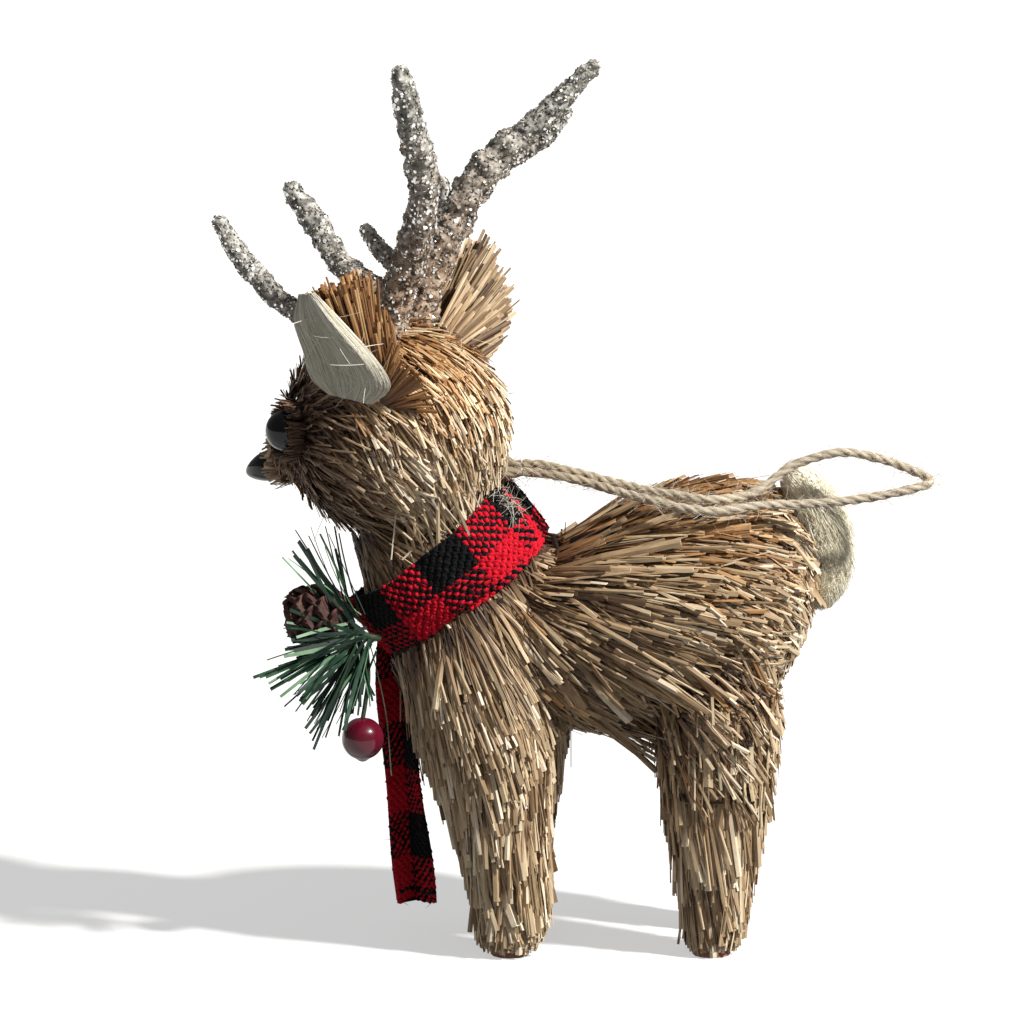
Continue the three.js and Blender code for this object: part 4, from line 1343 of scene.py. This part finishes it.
def band_sheet():
    """The scarf's strip round the neck. Its outer end laps over the inner one behind, with a crease."""
    turn = np.radians(np.linspace(BAND_START, BAND_START - BAND_TURN, BAND_ROWS))
    share = np.linspace(0, 1, BAND_ROWS)
    lap = np.interp(share, (0, 0.10, 0.17, 1), (2.0, 1.7, 0.45, 0.0))
    under = np.interp(share, (0.82, 0.9, 1), (0, -0.5, -0.7))
    radius = 18.9 + lap + under
    rise = 0.9 * np.sin(2 * turn + 0.6) + np.interp(share, (0, 0.14, 0.2, 1), (2.3, 1.4, 0, 0))
    across = np.linspace(-SCARF_WIDTH / 2, SCARF_WIDTH / 2, COLUMNS)
    crease = 0.9 * np.exp(-((share - 0.155) / 0.018) ** 2)[:, None] * (0.6 + 0.4 * across / 6)
    ripple = 0.28 * np.sin(5.5 * turn)[:, None] * np.sin(across / 3.1 + 1.0)
    ripple = ripple + 0.22 * np.sin(11 * turn + 1)[:, None]
    tuck = 0.45 * (np.abs(across) / 6.3) ** 3
    r = radius[:, None] + ripple - crease - tuck
    return from_neck(np.stack([
        r * np.cos(turn)[:, None],
        NECK["flatten"] * r * np.sin(turn)[:, None],
        rise[:, None] + across,
    ], -1))


def outward_sheet(sheet, centre):
    """The sheet with its columns ordered so that its normals point away from the centre."""
    _, normals = on_grid(sheet, np.array([sheet.shape[0] / 2]), np.array([sheet.shape[1] / 2]))
    middle = sheet[sheet.shape[0] // 2, sheet.shape[1] // 2]
    return sheet if normals[0] @ (middle - centre) > 0 else sheet[:, ::-1]


def nearest_row(sheet, place):
    return np.linalg.norm(sheet[:, sheet.shape[1] // 2] - place, axis=1).argmin()


def scarf_band():
    source = dice("scarf band")
    sheet = outward_sheet(band_sheet(), np.array(NECK["centre"]))
    length = np.linalg.norm(np.diff(sheet[:, COLUMNS // 2], axis=0), axis=1).sum()
    flipped = sheet[0, 0] @ NECK_AXES[2] > sheet[0, -1] @ NECK_AXES[2]
    check = nearest_row(sheet, BLACK_CHECK) / len(sheet) * length / PITCH

    def red_rows(k):
        return k >= 8 if flipped else k < 6

    def red_columns(k):
        return (k - check + CHECK / 2) // CHECK % 2 == 1

    parts = woven(sheet, length, SCARF_WIDTH, source, red_rows, red_columns)
    count = 2200
    rows, columns = BAND_ROWS - 1, COLUMNS - 1
    s, t = source.uniform(0, rows, count), source.uniform(0, columns, count)
    points, normals = on_grid(sheet, s, t)
    of_row = red_rows((t / columns * int(SCARF_WIDTH / PITCH)).astype(int))
    of_column = red_columns((s / rows * int(length / PITCH)).astype(int))
    tone = np.where(source.random(count) < 0.5, of_row, of_column).astype(float)
    parts.append(fuzz(points + normals * 0.35, normals, source, (0.5, 1.5), (0.05, 0.10), tone, lie=0.75))
    parts.append(tangle(sheet, 9 if flipped else 17, source))
    cloth = build("scarf_cloth", [cloth_part(sheet)], [ground], replaced=["scarf_band"])
    yarns = build("scarf_yarns", parts, [yarn, sisal])


def tangle(sheet, column, source, count=90):
    """Grey fibres caught on the band."""
    s = np.clip(nearest_row(sheet, TANGLE) + source.normal(0, 1.8, count), 0, BAND_ROWS - 2)
    t = np.clip(source.normal(column, 4, count), 0, COLUMNS - 1.1)
    points, normals = on_grid(sheet, s, t)
    caught = fuzz(points + normals * 0.7, normals, source, (1.5, 4), (0.04, 0.08),
                  sizes(source, count, 0.4, 0.7), lie=0.88, curl=0.9)
    caught["material"] = 1
    return caught


scarf_band()

END_LENGTH = 52
END_LINE = [
    (-25.6, 0.6, 59), (-25.4, 0.8, 50), (-24.8, 0.9, 40), (-23.9, 1, 28), (-22.9, 1, 17), (-22.1, 1, 7.4),
]
END_WIDTH = 13


def end_sheet():
    """The hanging end, folded lengthwise into a V that opens towards the left."""
    line = smooth_line(END_LINE, END_ROWS)
    across = np.linspace(-1, 1, COLUMNS)
    share = np.linspace(0, 1, END_ROWS)[:, None]
    half_width = 3.4 + 0.35 * np.sin(9 * share)
    depth = 3.9 * (1 - np.abs(across) ** 1.25) - 1.9
    twist = 0.25 * np.sin(3.2 * share + 0.4)
    x = half_width * across + twist * depth
    y = depth - 0.5 * across + 0.35 * np.sin(8 * share + 2 * across)
    z = 0.25 * np.sin(4 * across + 3)
    return np.stack([line[:, 0, None] + x, line[:, 1, None] + y, line[:, 2, None] + z], -1)


def scarf_end():
    source = dice("scarf end")
    sheet = outward_sheet(end_sheet(), np.array((-23.5, 30, 30)))
    flipped = sheet[0, 0, 0] > sheet[0, -1, 0]

    def red_rows(k):
        return k >= 8 if flipped else k < 6

    def red_columns(k):
        return (k + 1) // CHECK % 2 == 1

    parts = woven(sheet, END_LENGTH, END_WIDTH, source, red_rows, red_columns)
    count = 260
    s, t = source.uniform(0, END_ROWS - 1, count), source.uniform(0, COLUMNS - 1, count)
    points, normals = on_grid(sheet, s, t)
    tone = source.random(count).round()
    parts.append(fuzz(points + normals * 0.3, normals, source, (0.7, 2.4), (0.05, 0.09), tone, lie=0.6))
    hem = smooth_line(sheet[95, ::4] + (0, -0.55, 0), 50) + 0.12 * source.normal(size=(50, 3))
    parts.append(tube(hem, 0.42, 6, tone=0.0))
    cloth = build("scarf_end_cloth", [cloth_part(sheet)], [ground], body=None,
                  replaced=["scarf_end"])
    yarns = build("scarf_end_yarns", parts, [yarn], body=None)
    for piece in (cloth, yarns):
        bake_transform(piece)


scarf_end()


# ---- Sprig ----

# Needle colours: a middle green, a darker copy that is painted shade and a paler copy that is a painted
# highlight.
NEEDLE = [(0.3, (0.006, 0.022, 0.012)), (0.55, (0.016, 0.055, 0.030)), (0.8, (0.07, 0.15, 0.085))]
DARK_SHADE_NEEDLE = [(0.3, (0.003, 0.010, 0.008)), (0.7, (0.014, 0.034, 0.026))]
PALE_HIGHLIGHT_NEEDLE = [(0.3, (0.06, 0.15, 0.07)), (0.7, (0.22, 0.36, 0.22))]
WIRE = [(0.3, (0.02, 0.035, 0.02)), (0.7, (0.06, 0.09, 0.045))]

needle_look = rough_look("pine needle", NEEDLE, 260, roughness=(0.35, 0.6), bump=(0.2, 0.1))
dark_shade_needle = rough_look("needle with painted shade", DARK_SHADE_NEEDLE, 260, roughness=(0.4, 0.6))
pale_highlight_needle = rough_look("needle with painted highlight", PALE_HIGHLIGHT_NEEDLE, 260, roughness=(0.35, 0.6))
wire_look = rough_look("green wire", WIRE, 900, roughness=(0.4, 0.6))
SPRIG = np.array((-31.4, -12.6, 62.5))
# Tufts: aim point, spread in millimetres, number of needles
TUFTS = [
    ((-48, -17, 56), 1.6, 16), ((-45, -15.5, 59.5), 1.4, 10), ((-44.5, -18, 51.5), 1.6, 17),
    ((-41, -17, 46.5), 1.6, 17), ((-38, -16.5, 45), 1.4, 12), ((-34.5, -16.5, 49), 1.4, 12),
    ((-30.5, -15, 50), 1.0, 6), ((-43.5, -13, 80.5), 1.2, 8), ((-45, -12.5, 77.5), 1.0, 5),
    ((-38, -12, 81.5), 1.2, 6), ((-46, -16, 65.5), 1.2, 5), ((-45.5, -16, 61.5), 1.2, 5),
]


def needles():
    source = dice("needles")
    parts = []
    for k, (tip, spread, count) in enumerate(TUFTS):
        tips = np.array(tip) + source.normal(0, spread, (count, 3))
        roots = SPRIG + source.normal(0, 1.1, (count, 3))
        roots = roots + (tips - SPRIG) * source.uniform(0, 0.3, (count, 1))
        way = tips - roots
        length = np.linalg.norm(way, axis=1)
        normals = unit(np.cross(way, source.normal((0, 0, 1.2), 0.5, (count, 3))))
        # One needle in four takes the pale copy, a painted highlight; every other tuft takes the dark copy,
        # painted shade.
        pale = np.arange(count) % 4 == 3  # one needle in four catches the light
        for chosen, look in ((~pale, 2 * (k % 2)), (pale, 1)):
            n = chosen.sum()
            made = straws(roots[chosen], way[chosen], normals[chosen], length[chosen],
                          sizes(source, n, 0.45, 0.9), np.full(n, 0.5), source, curl=0.14, roll=0.9, rows=5,
                          thickness=0.22, taper=(0.9, 1, 0.8), wander=0.04)
            made["material"] = look
            parts.append(made)
    # The long needle is pale, and takes the pale copy with its painted highlight.
    route = [(-30.8, -13.4, 62), (-28.8, -14, 54), (-27.4, -12.5, 46), (-26.6, -9.5, 34.5)]
    long_needle = smooth_line(route, 16)
    _, across, up = frames_along(long_needle)
    side, crest = across * 0.45, up * 0.14
    ribbon = np.stack([long_needle + side, long_needle + crest, long_needle - side], 1)
    parts.append(grid_part(ribbon, material=1, smooth=False))
    return parts


build("sprig_needles", needles(), [needle_look, pale_highlight_needle, dark_shade_needle],
      replaced=["pine_needles"])


def cone_scale(base, out, along, length, width):
    """One woody scale: a cupped tongue with a thick, notched lip."""
    side = unit(np.cross(out, along))
    rows, half = 9, 7
    v = np.linspace(0, 1, rows)[:, None]
    u = np.linspace(-1, 1, half)[None]
    flare = 0.35 + 0.65 * np.sin(0.5 * math.pi * np.clip(v * 1.15, 0, 1))
    spread = width * flare * np.sqrt(np.clip(1.02 - (v * 0.9) ** 6, 0.1, 1))
    reach = length * (v * (1 - 0.10 * u**2))
    lift = length * (0.22 * v**2 - 0.12 * u**2 * v)
    top = base + out[None, None] * reach[..., None] + along * lift[..., None] + side * (spread * u)[..., None]
    thick = 0.25 + 0.45 * v**3 + 0 * u
    bottom = top - along * thick[..., None]
    return grid_part(np.concatenate([top, bottom[:, ::-1]], 1))


CONE = [(0.3, (0.028, 0.012, 0.010)), (0.55, (0.085, 0.036, 0.030)), (0.8, (0.20, 0.11, 0.09))]
cone_look = rough_look("cone scale", CONE, 420, stretch=(0.4, 1, 1), bump=(0.5, 0.2))


def pine_cone(count=46):
    """Scales set round the axis by the golden angle, from the stalk end to the tip."""
    axis = unit(np.array((-1.0, -0.06, -0.12)))
    start = np.array((-34.2, -9.6, 66.6))
    side = unit(np.cross(axis, (0, 0, 1)))
    up = np.cross(side, axis)
    spindle = start + axis * np.linspace(0, 10.5, 12)[:, None]
    parts = [tube(spindle, 1.9 * np.sin(np.linspace(0.5, 2.9, 12)), 12)]
    for k in range(count):
        share = k / (count - 1)
        angle = k * math.radians(137.5)
        out = side * math.cos(angle) + up * math.sin(angle)
        girth = math.sin(math.pi * (0.24 + 0.62 * share))
        direction = unit(out + axis * (0.55 + 0.9 * share))
        base = start + axis * (9.6 * share) + out * 0.9
        parts.append(cone_scale(base, direction, unit(axis - out * 0.6), 7.0 * girth, 2.3 * girth + 0.6))
    return parts


build("pine_cone_scales", pine_cone(), [cone_look], replaced=["pine_cone"])

BERRY = {"centre": (-32, -12.5, 42.3), "radius": 4}


def berry_parts():
    """A lacquered ball that narrows to a nub below, with a slightly uneven skin."""
    profile = [(1.0, 0.05), (0.97, 0.3), (0.8, 0.62), (0.45, 0.9), (0, 1), (-0.4, 0.93), (-0.75, 0.68),
               (-0.98, 0.32), (-1.1, 0.14), (-1.13, 0.02)]
    z, x, y = np.moveaxis(turned(profile, BERRY["radius"], BERRY["radius"], 40, 40), -1, 0)
    angle = turns(40)
    bumpy = 1 + 0.012 * np.sin(3 * angle) + 0.008 * np.sin(7 * angle + 1)
    return [grid_part(np.stack([x * bumpy, y * bumpy, z], -1) + BERRY["centre"])]


berry_look = gloss_look("berry lacquer", (0.055, 0.002, 0.009), (0.15, 0.004, 0.022), 180, roughness=0.2,
                        coat=0.5)
build("berry_ball", berry_parts(), [berry_look], replaced=["berry"])

WIRES = [
    ("berry_wire", "berry_stem", 0.45,
     [(-31.2, -12.2, 60), (-30.9, -12.1, 54), (-31.5, -12.4, 49), (-32, -12.5, 46)]),
    ("sprig_wire", "sprig_stem", 0.75,
     [(-28.5, -11.2, 61.6), (-31.4, -11.5, 62), (-33.6, -9.9, 63.4), (-35.8, -9.1, 64.3)]),
]
for name, replaced, radius, route in WIRES:
    build(name, [tube(smooth_line(route, 30), radius, 10)], [wire_look], replaced=[replaced])


# ---- Twine ----

def twine_look():
    """Jute: tan fibres with pale ones among them, in line with the twist."""
    look = Look("jute twine", Roughness=0.8, Specular_IOR_Level=0.25, Sheen_Weight=0.2)
    strand = look.strand()
    fibre = look.noise(strand, 1.0, detail=5, stretch=(4.5, 0.7, 0))
    tone = look.maths("ADD", look.tone(), look.maths("SUBTRACT", fibre, 0.5))
    stops = [(0.1, (0.12, 0.082, 0.048)), (0.4, (0.33, 0.26, 0.175)), (0.65, (0.58, 0.50, 0.38)),
             (0.95, (0.86, 0.81, 0.70))]
    look.colour(look.ramp(tone, stops))
    look.bump(fibre, 0.6, 0.15)
    return look.material


twine = twine_look()


def twisted(line, diameter, turn_length, tone, sides=24, plies=3):
    """A cord of plies and its rings: a lobed section that turns as it goes along, with painted shade in the
    grooves between its plies.
    """
    _, across, up = frames_along(line)
    run = np.concatenate([[0], np.cumsum(np.linalg.norm(np.diff(line, axis=0), axis=1))])
    angle = turns(sides) - (2 * math.pi * run / turn_length)[:, None]
    lobe = np.abs(np.cos(plies * angle / 2))
    uneven = 1 + 0.05 * np.sin(1.7 * run + 3 * np.sin(0.31 * run))
    radius = diameter / 2 * (0.7 + 0.3 * lobe**0.8) * uneven[:, None]
    grid = line[:, None] + radius[..., None] * spokes(across, up, sides)
    strand = np.stack([angle % (2 * math.pi), run[:, None] + 0 * angle, 0 * angle], -1).reshape(-1, 3)
    # Painted shade: the tone is lower in the grooves between the plies.
    shade = np.clip(np.broadcast_to(tone, (len(line),))[:, None] - 0.22 * (1 - lobe), 0, 1)
    cord = grid_part(grid, tone=np.append(shade, (0.3, 0.3)), strand=np.vstack([strand, np.zeros((2, 3))]))
    return cord, grid


def loop_parts(count=1500):
    source = dice("twine")
    line = smooth_line(np.array(TWINE_ROUTE) / MM, 470)
    tone = 0.5 + 0.2 * np.clip(line[:, 0] / 30, 0, 1)
    cord, grid = twisted(line, TWINE_DIAMETER, TWINE_TURN, tone)
    points, normals = scatter(grid, count, source)
    aims = unit(normals * 0.3 + source.normal(0, 1, (count, 3)) * (0.8, 0.25, 0.25))
    hairs = straws(points, aims, normals, sizes(source, count, 0.8, 4.0), sizes(source, count, 0.03, 0.06),
                   sizes(source, count, 0.5, 1.0), source, curl=0.4, roll=1.5, rows=5, thickness=0.8,
                   wander=0.35)
    return line, cord, hairs


line, cord_part, hair_part = loop_parts()
loop = build("twine_loop", [cord_part], [twine], body="hanger", replaced=["hanging_loop"])
hairs = build("twine_loop_hairs", [hair_part], [twine], body="hanger")


def knot_parts():
    """The loop's two ends, wound round each other where they go into the straw."""
    source = dice("knot")
    turn = np.linspace(0, 4.4 * math.pi, 120)
    centre = np.array((-5.6, -3.6, 92.6))
    coil = centre + np.stack([3 * (turn / turn[-1] - 0.5), 1.45 * np.cos(turn), 1.45 * np.sin(turn)], 1)
    ends = [
        smooth_line([(-10, -2.4, 90.5), (-6.5, -2.2, 92.6), (-1.85, -2.4, 93.3)], 40),
        smooth_line([(-10, -5.4, 90), (-6.5, -5.2, 91.6), (-1.85, -4.9, 92.3)], 40),
    ]
    parts = [twisted(path, TWINE_DIAMETER, TWINE_TURN, 0.45)[0] for path in (coil, *ends)]
    count = 160
    points, normals = scatter(tube_grid(coil, TWINE_DIAMETER / 2, 12), count, source)
    parts.append(fuzz(points, normals, source, (1, 3.5), (0.05, 0.10), sizes(source, count, 0.4, 0.9)))
    return parts


build("twine_knot", knot_parts(), [twine], replaced=["loop_knot"])


# ---- Inner cores: CAD shapes that stay, with materials of their own ----

FOAM = [(0.35, (0.72, 0.71, 0.68)), (0.65, (0.90, 0.89, 0.86))]
WOOD = [(0.3, (0.40, 0.25, 0.13)), (0.7, (0.66, 0.48, 0.29))]
PAPER = [(0.3, (0.20, 0.085, 0.055)), (0.7, (0.42, 0.21, 0.15))]


def carry(names, material):
    for name in names:
        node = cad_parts[name]
        node.data.materials.clear()
        node.data.materials.append(material)


leg_cores = [f"{end}_{side}_leg_core" for end in ("front", "back") for side in ("left", "right")]
carry(["torso_core", "head_core"], rough_look("white foam", FOAM, 900, roughness=(0.8, 0.95)))
carry(["neck_dowel"], rough_look("dowel wood", WOOD, 300, stretch=(1, 1, 0.1)))
carry(leg_cores, rough_look("rolled paper", PAPER, 700, stretch=(1, 1, 0.2)))


# ---- Floor, light and camera ----

def stage(reach=6):
    """A pale floor that lights nothing, so that the gaps between straws stay dark."""
    look = Look("pale floor", Roughness=0.9, Emission_Color=(1, 1, 1, 1), Emission_Strength=0.5)
    look.colour(look.grey(look.noise(look.place(), 3), [(0.3, 0.50), (0.7, 0.53)]))
    mesh = bpy.data.meshes.new("floor")
    corners = [(-reach, -reach, 0), (reach, -reach, 0), (reach, reach, 0), (-reach, reach, 0)]
    mesh.from_pydata(corners, [], [(0, 1, 2, 3)])
    mesh.materials.append(look.material)
    floor = bpy.data.objects.new("floor", mesh)
    floor.visible_diffuse = False
    bpy.context.scene.collection.objects.link(floor)


def sun(place, aim, angle, strength, colour):
    light = bpy.data.lights.new("key", "SUN")
    light.angle, light.energy, light.color = math.radians(angle), strength, colour
    holder = bpy.data.objects.new("key", light)
    holder.location = place
    holder.rotation_euler = (Vector(aim) - Vector(place)).to_track_quat("-Z", "Y").to_euler()
    bpy.context.scene.collection.objects.link(holder)


def camera():
    data = bpy.data.cameras.new("camera")
    data.sensor_width = 36
    data.lens = 36 * VIEW["distance"] / VIEW["width"]
    data.clip_start = 0.01
    holder = bpy.data.objects.new("camera", data)
    tilt = math.radians(VIEW["elevation"])
    aim = Vector(VIEW["aim"]) * MM
    offset = Vector((0, -math.cos(tilt), math.sin(tilt))) * VIEW["distance"] * MM
    holder.location = aim + offset
    holder.rotation_euler = (-offset).to_track_quat("-Z", "Y").to_euler()
    bpy.context.scene.collection.objects.link(holder)
    bpy.context.scene.camera = holder


def lights():
    world = bpy.data.worlds.new("studio")
    bpy.context.scene.world = world
    world.use_nodes = True
    world.node_tree.nodes["Background"].inputs["Color"].default_value = (1, 1, 1, 1)
    world.node_tree.nodes["Background"].inputs["Strength"].default_value = 0.21
    sun((0.74, -0.42, 0.86), (0, 0, 0.08), 4, 5.6, (1.0, 0.97, 0.92))


camera()
stage()
lights()
bpy.context.scene.view_settings.view_transform = "Standard"
